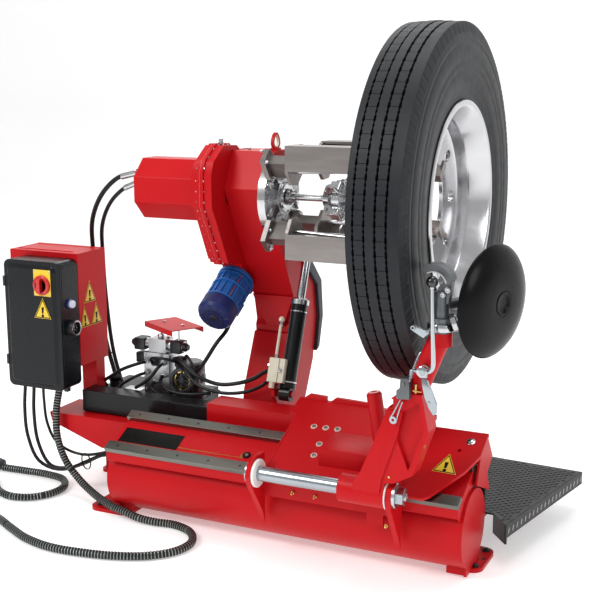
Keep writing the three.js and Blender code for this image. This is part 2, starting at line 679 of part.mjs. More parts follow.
function lockLever() {
  return union(
    bar([0, 0, 30], [-6, 0, 236], 6, 14),
    bar([-26, 0, 0], [0, 0, 32], 6, 14),
    new THREE.SphereGeometry(16, 16, 10).translate(-6, 0, 240),
    cylY(15, -12, 22, -26, 0, 20),
  );
}

// Head about its upright turning axis: boss, post, curved hook and the disc's axle.
const DISC = { centre: [194, 88, 551], normal: [0.95, -0.31, -0.04] };

function alongDisc(d) {
  const n = new THREE.Vector3(...DISC.normal).normalize();
  const at = new THREE.Vector3(...DISC.centre).addScaledVector(n, d);
  return at.sub(new THREE.Vector3(...NECK_TO)).toArray();
}

function toolHead() {
  const hook = [];
  const inner = [];
  for (let i = 0; i <= 10; i += 1) {
    const t = 0.15 + (i / 10) * 2.1;
    hook.push([-20 + 52 * Math.cos(t), 134 + 50 * Math.sin(t)]);
    inner.push([-18 + 37 * Math.cos(t), 128 + 38 * Math.sin(t)]);
  }
  return union(
    cylZ(29, 0.4, 40, 0, 0),
    cylZ(20, 38, 110, 0, 0, 20),
    prismY([[-20, 80], [20, 80], [30, 138], [18, 148], [-8, 122]], -13, 13),
    prismY([...hook, ...inner.reverse()], -24, 24),
    bar(alongDisc(-60), alongDisc(3), 14.4, 20),
    bar([0, 4, 70], alongDisc(-50), 15),
  );
}

// Domed disc, made about +X.
function beadDisc() {
  return turnX([[16, 0], [16, 20], [26, 30], [27, 60], [20, 108], [6, 140], [-10, 155], [-16, 151], [0,
      120], [10, 62],
    [8, 30], [-16, 26], [-16, 15], [5, 15], [5, 0]], 32);
}

// ---- assembly ----
const base = group(root, 'base');
place(base, 'base_tube', baseTube(), material('red_tube', PAINT.red, 0.1, 0.3));
place(base, 'end_foot_left', endFoot(-1060.5, TUBE.x0 - GAP, -1166, -1010, -272, -74, TUBE.x0, -1012),
  material('red_foot_left', PAINT.red, 0.1, 0.35));
place(base, 'end_foot_right', endFoot(TUBE.x1 + GAP, 124.6, 60, 152, -206, -34, 62, TUBE.x1),
  material('red_foot_right', PAINT.red, 0.1, 0.35));
place(base, 'rail_bed', railBed(), material('red_bed', PAINT.red, 0.1, 0.3));
place(base, 'lower_rail', slopeBar(-4, 34, GAP, 16, BED.x0, BED.x1 + 2), material('rail_steel_low',
    0x8d8f90, 1, 0.35));
place(base, 'upper_rail', slopeBar(146, 180, GAP, 16, BED.x0, BED.x1 + 2), material('rail_steel_up',
    0x8d8f90, 1, 0.35));
place(base, 'slide_beam', slideBeam(), material('beam_black', PAINT.black, 0.3, 0.35));
place(base, 'beam_stand', beamStand(), material('red_stand', PAINT.red, 0.1, 0.4));
place(base, 'pivot_frame', pivotFrame(), material('red_frame', PAINT.redDark, 0.1, 0.4));
place(base, 'pivot_pin', cylX(22, -802, -568, 0, 0), material('pin_steel', 0x9a9c9e, 1, 0.3), 0,
    PIVOT.y, PIVOT.z);

const control = group(root, 'control');
place(control, 'control_post', controlPost(), material('red_post', PAINT.red, 0.1, 0.35));
place(control, 'control_box', controlCase(), material('box_black', PAINT.black, 0.2, 0.4));
place(control, 'side_lamp', cylX(13, 0, 16, 0, 0, 20), material('lamp_lens', 0x5aa6d8, 0, 0.2),
    CASE.x1 + GAP, -174, 668);
place(control, 'side_socket', cut(cylX(27, 0, 24, 0, 0, 24), cylX(19, 6, 30, 0, 0, 24)),
  material('socket_black', 0x1b1c1f, 0, 0.5), CASE.x1 + GAP, -172, 587);
const door = group(control, 'door');
place(door, 'control_door', caseDoor(), material('door_black', PAINT.black, 0.2, 0.35));
place(door, 'switch_knob', isolatorKnob(), material('knob_red', 0xc01a1a, 0, 0.35), -1343, 0, 736);

const power = group(root, 'power_unit');
place(power, 'oil_tank', oilTank(), material('tank_black', 0x2a2c30, 0.4, 0.5));
place(power, 'valve_block', valveBlock(), material('valve_metal', 0xa4a7a9, 1, 0.4));
place(power, 'pump_motor', pumpMotor(), material('pump_grey', 0x3a3d42, 0.6, 0.45));
place(power, 'power_cover', powerCover(), material('red_cover', PAINT.red, 0.1, 0.4), -1043, 92, 566);

const arm = group(root, 'chuck_arm');
place(arm, 'arm_box', armBox(), material('red_arm', PAINT.red, 0.1, 0.3));
place(arm, 'guard_plate', kneeGuard(), material('guard_grey', PAINT.grey, 0, 0.6));
place(arm, 'gearbox_case', gearCase(), material('red_gearbox', PAINT.red, 0.1, 0.35));
place(arm, 'gearbox_cover', gearCover(), material('red_gear_cover', PAINT.red, 0.1, 0.35));
place(arm, 'union_housing', unionHousing(), material('red_union', PAINT.red, 0.1, 0.35));
const motor = group(arm, 'gear_motor', -830, 0, 0);
motor.position.set(...MOTOR_AT);
motor.rotation.set(-Math.PI / 2 + MOTOR_TILT, 0, 0);
place(motor, 'motor_body', motorBody(), material('motor_blue', PAINT.blue, 0.2, 0.4));
place(motor, 'fan_cover', fanCover(), material('fan_blue', 0x1b3f86, 0.2, 0.45));
place(arm, 'lifting_ring', liftingRing(), material('ring_red', PAINT.red, 0.1, 0.35), -622, 42, 1210.4);
place(arm, 'bearing_front', bearing(-640, -612, BORE.spindle + GAP, BORE.front),
    material('bearing_front', 0xa8aaac, 1, 0.25), 0, 0, AXIS_Z);
place(arm, 'bearing_rear', bearing(-778, -763, BORE.spindle + GAP, 39.7), material('bearing_rear',
    0xa8aaac, 1, 0.25), 0, 0, AXIS_Z);

const chuck = group(root, 'chuck', 0, 0, AXIS_Z);
place(chuck, 'chuck_spindle', spindle(), material('spindle_steel', 0xb4b6b8, 1, 0.25));
place(chuck, 'chuck_flange', chuckFlange(), material('flange_steel', 0xaeb0b2, 1, 0.3));
place(chuck, 'worm_wheel', wormWheel(), material('wheel_bronze', 0xa9844a, 1, 0.35));
place(chuck, 'truck_tyre', tyre(), material('tyre_rubber', 0x1d1e20, 0, 0.8));
place(chuck, 'wheel_rim', wheelRim(), material('rim_aluminium', 0xdfe2e4, 1, 0.12));
for (let i = 0; i < 4; i += 1) {
  const holder = group(chuck, `jaw_holder_${i + 1}`);
  holder.rotation.x = Math.PI / 4 + (i * Math.PI) / 2;
  place(holder, `jaw_${i + 1}`, jaw(), material(`jaw_steel_${i + 1}`, 0xb0b2b4, 1, 0.3));
}
place(chuck, 'jaw_spider', spider(), material('spider_steel', 0xd6d8da, 1, 0.15));

const lift = group(root, 'lift_cylinder', LIFT_X, LIFT_BASE.y, LIFT_BASE.z);
lift.rotation.x = -Math.atan2(LIFT_TOP.y - LIFT_BASE.y, LIFT_TOP.z - LIFT_BASE.z);
place(lift, 'lift_barrel', liftBarrel(), material('barrel_black', 0x17181a, 0.4, 0.3));
place(lift, 'lift_rod', liftRod(), material('rod_chrome', 0xe2e4e6, 1, 0.08));
place(lift, 'lock_valve', lockValve(), material('valve_cream', 0xd8d2bd, 0.1, 0.4));

const carriage = group(root, 'carriage');
place(carriage, 'carriage_body', carriageBody(), material('red_carriage', PAINT.red, 0.1, 0.3));
place(carriage, 'carriage_hood', carriageHood(), material('red_hood', PAINT.red, 0.1, 0.3));
place(carriage, 'pivot_shaft', pivotShaft(), material('shaft_chrome', 0xd8dadc, 1, 0.15), 0, SHAFT.y,
    SHAFT.z);
place(carriage, 'platform', platform(), material('platform_black', 0x1c1d20, 0.3, 0.55));

const tool = group(root, 'tool', 0, SHAFT.y, SHAFT.z);
place(tool, 'tool_arm', toolArm(), material('red_tool_arm', PAINT.red, 0.1, 0.3));
place(tool, 'lock_lever', lockLever(), material('lever_chrome', 0xd8dadc, 1, 0.15), 71, -54, 379);
const head = group(tool, 'head', ...NECK_TO);
place(head, 'tool_head', toolHead(), material('head_grey', 0x54585c, 0.7, 0.45));
const discHolder = group(tool, 'disc_holder', ...DISC.centre);
discHolder.quaternion.setFromUnitVectors(new THREE.Vector3(1, 0, 0),
    new THREE.Vector3(...DISC.normal).normalize());
place(discHolder, 'bead_disc', beadDisc(), material('disc_black', 0x141517, 0.3, 0.25));

// ---- cords and hoses ----
const CONDUIT_R = 13;
const COIL = { x: -1760, y: -340, r: 150 };
const CONDUIT_ROUTE = [[-1340, -172, 366], [-1353, -176, 290], [-1350, -180, 200], [-1320, -182, 122],
  [-1262, -190, 66], [-1190, -216, 38], [-1120, -250, 30], [-1060, -280, 30], [-1000, -296, 27], [-950,
      -300, 18], [-890, -298, 14],
  [-820, -292, 14], [-745, -322, 14], [-702, -390, 14], [-712, -462, 14], [-770, -526, 14], [-860, -568, 14],
  [-960, -590, 14], [-1072, -598, 14], [-1180, -575, 14], [-1280, -528, 14], [-1370, -482, 14], [-1460,
      -464, 14],
  [-1550, -468, 14], [-1630, -486, 14]];
const TAIL_ROUTE = [[-1630, -196, 14], [-1580, -240, 14], [-1520, -292, 14], [-1450, -313, 14], [-1382,
    -290, 14],
  [-1342, -225, 14], [-1346, -160, 14], [-1396, -104, 14], [-1480, -88, 14], [-1570, -92, 14], [-1660,
      -98, 14]];
const CABLE_ROUTES = [
  [[-1486, -168, 366], [-1494, -168, 280], [-1488, -166, 180], [-1450, -160, 92], [-1380, -146, 66],
    [-1290, -128, 92], [-1220, -106, 128], [-1120, -90, 146]],
  [[-1446, -172, 366], [-1452, -172, 270], [-1440, -170, 160], [-1398, -162, 84], [-1330, -148, 80],
    [-1260, -144, 112], [-1200, -136, 140], [-1120, -118, 152]],
];
const UNION_HOSE_ROUTE = [[-1290, 92, 352], [-1338, 110, 470], [-1352, 90, 640], [-1348, 64, 800],
    [-1318, 24, 925],
  [-1256, 0, 1020], [-1190, 0, 1076], [-1128, 0, 1092], [-1068, 0, 1094]];
const LIFT_HOSE_ROUTE = [[-1024, 60, 453], [-980, 16, 466], [-900, -6, 426], [-820, 2, 402], [-740, 10, 414],
  [-680, 6, 440], [-648, -8, 462], [-628, -16, 472]];
const MOTOR_CABLE_ROUTE = [[-797, 64, 624], [-806, 40, 580], [-826, 4, 540], [-850, -10, 496], [-884,
    -2, 452],
  [-912, 16, 430]];

// Ring that stands for the coil's turns.
function conduitCoil() {
  const { r } = COIL;
  const profile = [[r - 27, 1], [r + 27, 1], [r + 27, 53], [r - 27, 53], [r - 27, 1]];
  const points = profile.map(([q, z]) => new THREE.Vector2(q, z));
  return new THREE.LatheGeometry(points, 32).rotateX(Math.PI / 2);
}

function conduitPlug() {
  return union(cylX(24, -1752, -1662, -98, 24.4, 20), cylX(20, -1800, -1750, -98, 24.4, 20),
    box(-1762, -1744, -124, -72, 1, 50));
}

const cords = group(root, 'cords');
const flex = (name, color) => material(name, color, 0, 0.6);
place(cords, 'conduit', tube(CONDUIT_ROUTE, CONDUIT_R, 52), material('conduit_armour', 0x35383c, 0.6, 0.45));
place(cords, 'conduit_coil', conduitCoil(), material('coil_armour', 0x35383c, 0.6, 0.45), COIL.x, COIL.y, 0);
place(cords, 'conduit_tail', tube(TAIL_ROUTE, CONDUIT_R, 26), material('tail_armour', 0x35383c, 0.6, 0.45));
place(cords, 'conduit_plug', conduitPlug(), material('plug_grey', 0x3c4046, 0.2, 0.5));
CABLE_ROUTES.forEach((route, i) => place(cords, `cable_${i + 1}`, tube(route, 6, 22),
    flex(`cable_black_${i + 1}`, 0x151618)));
place(cords, 'union_hose', tube(UNION_HOSE_ROUTE, 8, 26), flex('hose_black', 0x141517));
place(cords, 'lift_hose', tube(LIFT_HOSE_ROUTE, 7, 18), flex('hose_black_2', 0x141517));
place(cords, 'motor_cable', tube(MOTOR_CABLE_ROUTE, 7, 10), flex('cable_black_3', 0x141517));

root.position.set(SHIFT_X, SHIFT_Y, 0);
export default root;
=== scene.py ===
"""Truck tyre changer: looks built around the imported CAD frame.

Shapes are written in machine millimetres (X = 0 at the tyre's front shoulder, Y = 0 on the chuck axis) and
turned into metres in the row frame by P().
"""
import json
import random
from math import atan2, copysign, cos, hypot, pi, radians, sin, tau

import bmesh
import bpy
from mathutils import Matrix, Vector


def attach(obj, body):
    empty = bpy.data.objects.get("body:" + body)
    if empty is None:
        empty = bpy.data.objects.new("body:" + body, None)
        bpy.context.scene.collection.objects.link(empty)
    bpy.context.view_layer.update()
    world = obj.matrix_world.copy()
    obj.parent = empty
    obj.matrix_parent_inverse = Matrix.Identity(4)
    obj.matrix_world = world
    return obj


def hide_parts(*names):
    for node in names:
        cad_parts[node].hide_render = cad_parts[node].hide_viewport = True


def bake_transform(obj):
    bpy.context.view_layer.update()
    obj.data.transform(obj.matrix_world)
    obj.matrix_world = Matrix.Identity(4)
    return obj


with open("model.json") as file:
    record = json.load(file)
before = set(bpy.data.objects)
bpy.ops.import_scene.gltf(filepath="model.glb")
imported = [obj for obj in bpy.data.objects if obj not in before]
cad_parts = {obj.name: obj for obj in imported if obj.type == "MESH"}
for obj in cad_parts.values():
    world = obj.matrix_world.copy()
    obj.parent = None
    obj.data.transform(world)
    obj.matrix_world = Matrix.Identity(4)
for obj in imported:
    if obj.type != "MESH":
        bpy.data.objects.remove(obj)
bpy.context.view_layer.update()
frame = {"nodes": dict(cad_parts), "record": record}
NODES = frame["nodes"]
SHIFT = 624
AXIS_Z = 1040
RIGHT, LEFT, FRONT, REAR, ABOVE = (1, 0, 0), (-1, 0, 0), (0, -1, 0), (0, 1, 0), (0, 0, 1)
rng = random.Random(7)
BODY_OF = {n: b for b, ns in frame["record"]["behaviour"]["bodies"].items() for n in ns}
SLOT_OF = {s["node"]: s["material_slot"] for s in frame["record"]["subparts"]}
SLOPE = atan2(80, 162)
TO_ROW = Matrix.Translation((SHIFT / 1000, 0, 0)) @ Matrix.Scale(0.001, 4)


def P(x, y, z):
    """A point in the row frame, in metres."""
    return Vector(((x + SHIFT) / 1000, y / 1000, z / 1000))


def S(x, s, n):
    """A point on the bed's slope: s along it, n off it."""
    return Vector((x, -322 + s * cos(SLOPE) - n * sin(SLOPE), 236 + s * sin(SLOPE) + n * cos(SLOPE)))


def on_slope(n, *points):
    """Points on the slope at that n, from their x and s."""
    return [S(x, s, n) for x, s in points]


def at_y(y, *points):
    """Points in the upright plane at that Y, from their X and Z."""
    return [(x, y, z) for x, z in points]


show = bpy.context.scene.collection.objects.link

# ---- camera
AZ, EL = radians(25.06), radians(11.37)
back = Vector((sin(AZ) * cos(EL), -cos(AZ) * cos(EL), sin(EL)))
camera = bpy.data.objects.new("camera", bpy.data.cameras.new("camera"))
show(camera)
camera.location = (1.58585, -3.16346, 1.4165)
camera.rotation_euler = back.to_track_quat("Z", "Y").to_euler()
camera.data.sensor_width = 36
camera.data.lens = 67.446
bpy.context.scene.camera = camera


# ---- materials
def put(node, name, value):
    """Sets a number or colour on a socket."""
    node.inputs[name].default_value = value


def look(name, base, rough, metal, vary, scale, bump, grain, coat=0.0, rough_vary=0.08, dust=0.0,
        dust_colour=(0.35, 0.33, 0.3), streak=None, rings=None, aniso=0.0, spec=None, sheen=0.0):
    """Principled material whose colour, roughness and bump come from noise at several sizes."""
    m = bpy.data.materials.new(name)
    m.use_nodes = True
    t = m.node_tree
    n, link = t.nodes, t.links.new
    b = n["Principled BSDF"]
    put(b, "Metallic", metal)
    put(b, "Coat Weight", coat)
    put(b, "Coat Roughness", 0.08)
    put(b, "Anisotropic", aniso)
    if spec is not None:
        put(b, "Specular IOR Level", spec)
    if sheen:
        put(b, "Sheen Weight", sheen)
    coord = n.new("ShaderNodeTexCoord")
    mapping = n.new("ShaderNodeMapping")
    link(coord.outputs["Object"], mapping.inputs["Vector"])
    if streak:
        put(mapping, "Scale", streak)

    def tex(size, detail=3.0):
        x = n.new("ShaderNodeTexNoise")
        put(x, "Scale", size)
        put(x, "Detail", detail)
        link(mapping.outputs["Vector"], x.inputs["Vector"])
        return x

    ramp = n.new("ShaderNodeValToRGB")
    e = ramp.color_ramp.elements
    e[0].position, e[1].position = 0.3, 0.7
    e[0].color = (*[max(0, c * (1 - vary)) for c in base], 1)
    e[1].color = (*[min(1, c * (1 + vary)) for c in base], 1)
    link(tex(scale, 5).outputs["Fac"], ramp.inputs["Fac"])
    colour = ramp.outputs["Color"]
    if dust:
        mask = n.new("ShaderNodeMapRange")
        put(mask, "From Min", 0.52)
        put(mask, "From Max", 0.75)
        put(mask, "To Max", dust)
        link(tex(scale * 5, 8).outputs["Fac"], mask.inputs["Value"])
        mix = n.new("ShaderNodeMix")
        mix.data_type = "RGBA"
        put(mix, "B", (*dust_colour, 1))
        link(mask.outputs["Result"], mix.inputs["Factor"])
        link(colour, mix.inputs["A"])
        colour = mix.outputs["Result"]
    link(colour, b.inputs["Base Color"])
    r = n.new("ShaderNodeMapRange")
    put(r, "To Min", max(0.02, rough - rough_vary))
    put(r, "To Max", min(1, rough + rough_vary))
    link(tex(scale * 4).outputs["Fac"], r.inputs["Value"])
    link(r.outputs["Result"], b.inputs["Roughness"])
    bp = n.new("ShaderNodeBump")
    put(bp, "Strength", bump)
    put(bp, "Distance", 0.0006)
    if rings:
        w = n.new("ShaderNodeTexWave")
        w.wave_type = "RINGS"
        w.rings_direction = "X"
        put(w, "Scale", rings)
        put(w, "Distortion", 0.4)
        shift = n.new("ShaderNodeMapping")
        put(shift, "Location", (0, 0, -AXIS_Z / 1000))
        link(coord.outputs["Object"], shift.inputs["Vector"])
        link(shift.outputs["Vector"], w.inputs["Vector"])
        link(w.outputs["Fac"], bp.inputs["Height"])
    else:
        link(tex(grain, 2).outputs["Fac"], bp.inputs["Height"])
    link(bp.outputs["Normal"], b.inputs["Normal"])
    return m


RED = (0.52, 0.0048, 0.0085)
# Columns: name, base colour, roughness, metal, variation and its scale, bump and its grain.
L = {
    "red": look("red_paint", RED, 0.38, 0, 0.06, 2.5, 0.04, 260, rough_vary=0.05, dust=0.05,
        dust_colour=(0.4, 0.03, 0.03), spec=0.17),
    "red_deep": look("red_paint_frame", (0.4, 0.0045, 0.0075), 0.42, 0, 0.1, 3, 0.05, 260, dust=0.08,
        dust_colour=(0.28, 0.03, 0.03), spec=0.17),
    "black": look("satin_black", (0.007, 0.0075, 0.009), 0.3, 0, 0.25, 4, 0.06, 420, coat=0.06, dust=0.08,
        dust_colour=(0.03, 0.03, 0.034), spec=0.22),
    "box": look("box_black", (0.005, 0.0062, 0.008), 0.26, 0, 0.2, 5, 0.05, 700, coat=0.04, spec=0.24),
    "tank": look("tank_black", (0.014, 0.016, 0.019), 0.4, 0, 0.25, 6, 0.1, 380, dust=0.2,
        dust_colour=(0.06, 0.06, 0.065), spec=0.35),
    "rail": look("rail_steel", (0.2, 0.212, 0.188), 0.34, 1, 0.12, 3, 0.03, 90, streak=(0.5, 6, 6),
        aniso=0.3),
    "steel": look("machined_steel", (0.6, 0.6, 0.61), 0.24, 1, 0.1, 12, 0.1, 300, streak=(1, 10, 10),
        aniso=0.3, dust=0.08, dust_colour=(0.3, 0.29, 0.28)),
    "turned": look("turned_steel", (0.58, 0.58, 0.59), 0.22, 1, 0.08, 10, 0.35, 500, rings=260, aniso=0.4),
    "chrome": look("chrome", (0.5, 0.52, 0.545), 0.14, 1, 0.03, 8, 0.02, 200, rough_vary=0.04),
    "shaft": look("ground_shaft", (0.4, 0.44, 0.47), 0.26, 1, 0.05, 6, 0.03, 200, rough_vary=0.04, aniso=0.4),
    "bright": look("bright_steel", (0.58, 0.585, 0.6), 0.2, 1, 0.08, 16, 0.08, 240),
    "cast": look("cast_grey", (0.17, 0.18, 0.19), 0.42, 0.75, 0.2, 14, 0.35, 320, dust=0.15,
        dust_colour=(0.3, 0.3, 0.3)),
    "dark_steel": look("dark_steel", (0.05, 0.053, 0.058), 0.38, 0.8, 0.25, 14, 0.2, 350),
    "alu": look("aluminium_block", (0.55, 0.56, 0.57), 0.32, 1, 0.1, 14, 0.14, 420, dust=0.1,
        dust_colour=(0.25, 0.25, 0.25)),
    "rim": look("rim_polish", (0.6, 0.6, 0.615), 0.2, 1, 0.05, 5, 0.1, 30, streak=(1, 2.5, 2.5),
        rough_vary=0.06, aniso=0.5),
    "tyre": look("tyre_rubber", (0.008, 0.0092, 0.012), 0.5, 0, 0.3, 9, 0.25, 900, spec=0.32, dust=0.18,
        dust_colour=(0.03, 0.031, 0.035), rough_vary=0.1),
    "rubber": look("hose_rubber", (0.006, 0.006, 0.007), 0.36, 0, 0.3, 20, 0.2, 1200, spec=0.32),
    "conduit": look("conduit_armour", (0.26, 0.29, 0.27), 0.34, 0.6, 0.25, 22, 0.15, 900),
    # Near-black for the faces down between the conduit's ribs: painted shade in the grooves.
    "conduit_groove_shading": look("conduit_groove_shading", (0.012, 0.013, 0.014), 0.5, 0.2, 0.3, 30, 0.2, 900, spec=0.3),
    "jaw": look("jaw_steel", (0.3, 0.275, 0.262), 0.36, 1, 0.12, 9, 0.1, 260, streak=(0.7, 5, 5), aniso=0.25,
        dust=0.1, dust_colour=(0.16, 0.14, 0.13)),
    "blue": look("motor_blue", (0.013, 0.125, 0.42), 0.34, 0, 0.12, 8, 0.08, 340, coat=0.08, dust=0.1,
        dust_colour=(0.08, 0.22, 0.42), spec=0.35),
    "blue_deep": look("fan_blue", (0.009, 0.017, 0.1), 0.42, 0, 0.2, 9, 0.12, 340, spec=0.3),
    "guard": look("guard_grey", (0.04, 0.05, 0.062), 0.5, 0, 0.15, 8, 0.15, 600, spec=0.35),
    "disc": look("disc_black", (0.0025, 0.0025, 0.003), 0.26, 0, 0.3, 4, 0.04, 240, rough_vary=0.06,
        spec=0.14),
    "ball": look("ball_black", (0.006, 0.006, 0.007), 0.1, 0, 0.2, 20, 0.03, 300, coat=0.8),
    "yellow": look("yellow_vinyl", (0.82, 0.56, 0.035), 0.35, 0, 0.06, 20, 0.06, 700),
    "ink": look("label_black", (0.004, 0.0045, 0.004), 0.5, 0, 0.2, 14, 0.05, 600, spec=0.12),
    "knob": look("knob_red", (0.55, 0.012, 0.012), 0.26, 0, 0.08, 18, 0.06, 400, coat=0.3),
    "cream": look("valve_cream", (0.62, 0.58, 0.46), 0.36, 0, 0.08, 18, 0.12, 420, dust=0.1,
        dust_colour=(0.35, 0.32, 0.25)),
    "nylon": look("white_nylon", (0.8, 0.8, 0.78), 0.4, 0, 0.04, 30, 0.06, 500, sheen=0.05),
    "brass": look("brass", (0.62, 0.42, 0.14), 0.22, 1, 0.12, 30, 0.1, 600),
    "bronze": look("bronze", (0.5, 0.33, 0.13), 0.3, 1, 0.12, 20, 0.2, 500),
    "plate": look("platform_black", (0.009, 0.0095, 0.011), 0.4, 0.1, 0.25, 9, 0.15, 420, dust=0.2,
        dust_colour=(0.035, 0.035, 0.035), spec=0.3),
    "lens": look("lamp_lens", (0.75, 0.82, 0.95), 0.12, 0, 0.05, 60, 0.04, 300, coat=0.6),
    "lamp": look("lamp_blue", (0.012, 0.02, 0.16), 0.25, 0, 0.1, 60, 0.05, 500, coat=0.4),
    # Near-black for the thin discs laid where holes are: painted shade inside the holes.
    "hole_shade_paint": look("painted_hole_shade", (0.006, 0.006, 0.006), 0.8, 0, 0.2, 30, 0.1, 600),
    "cream_ring": look("ring_inside", (0.72, 0.62, 0.5), 0.4, 0, 0.06, 30, 0.06, 500),
    "pink": look("machined_ring", (0.82, 0.42, 0.4), 0.35, 0, 0.08, 40, 0.06, 600),
}


# ---- mesh tools
def finish_mesh(bm, name, material, body, slot=None, stands_for=(), angle=38, row=False):
    bmesh.ops.recalc_face_normals(bm, faces=bm.faces)
    me = bpy.data.meshes.new(name)
    bm.to_mesh(me)
    bm.free()
    if not row:
        me.transform(TO_ROW)
    for poly in me.polygons:
        poly.use_smooth = True
    me.set_sharp_from_angle(angle=radians(angle))
    me.materials.append(material)
    o = bpy.data.objects.new(name, me)
    show(o)
    if body:
        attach(o, body)
    if stands_for:
        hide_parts(*stands_for)
    return o


def basis(d):
    d = Vector(d).normalized()
    ref = Vector((0, 0, 1)) if abs(d.z) < 0.9 else Vector((1, 0, 0))
    u = ref.cross(d).normalized()
    return u, d.cross(u), d


def catmull(points, step):
    """Centripetal Catmull-Rom curve through the points, with samples about step apart."""
    pts = [Vector(p) for p in points]
    pts = [pts[0] * 2 - pts[1], *pts, pts[-1] * 2 - pts[-2]]
    out = []
    for i in range(len(pts) - 3):
        a, b, c, d = pts[i:i + 4]
        t = [0.0]
        for p, q in ((a, b), (b, c), (c, d)):
            t.append(t[-1] + max(1e-6, (q - p).length) ** 0.5)
        n = max(2, round((c - b).length / step))
        for k in range(n):
            s = t[1] + (t[2] - t[1]) * k / n
            a1 = a.lerp(b, (s - t[0]) / (t[1] - t[0]))
            a2 = b.lerp(c, (s - t[1]) / (t[2] - t[1]))
            a3 = c.lerp(d, (s - t[2]) / (t[3] - t[2]))
            b1 = a1.lerp(a2, (s - t[0]) / (t[2] - t[0]))
            b2 = a2.lerp(a3, (s - t[1]) / (t[3] - t[1]))
            out.append(b1.lerp(b2, (s - t[1]) / (t[2] - t[1])))
    out.append(pts[-2])
    return out


def around(n, r):
    """n points on a circle of radius r."""
    return [(r * cos(tau * k / n), r * sin(tau * k / n)) for k in range(n)]


def weld(depth, pitch):
    """Radius of a weld bead along its length."""
    return lambda s: 1 + depth * sin(s * pitch)


MAIN_SLOT = {"carriage": "red_carriage", "tool": "red_tool_arm", "door": "door_black", "knob": "knob_red",
             "lever": "lever_chrome", "head": "head_grey", "disc": "disc_black"}


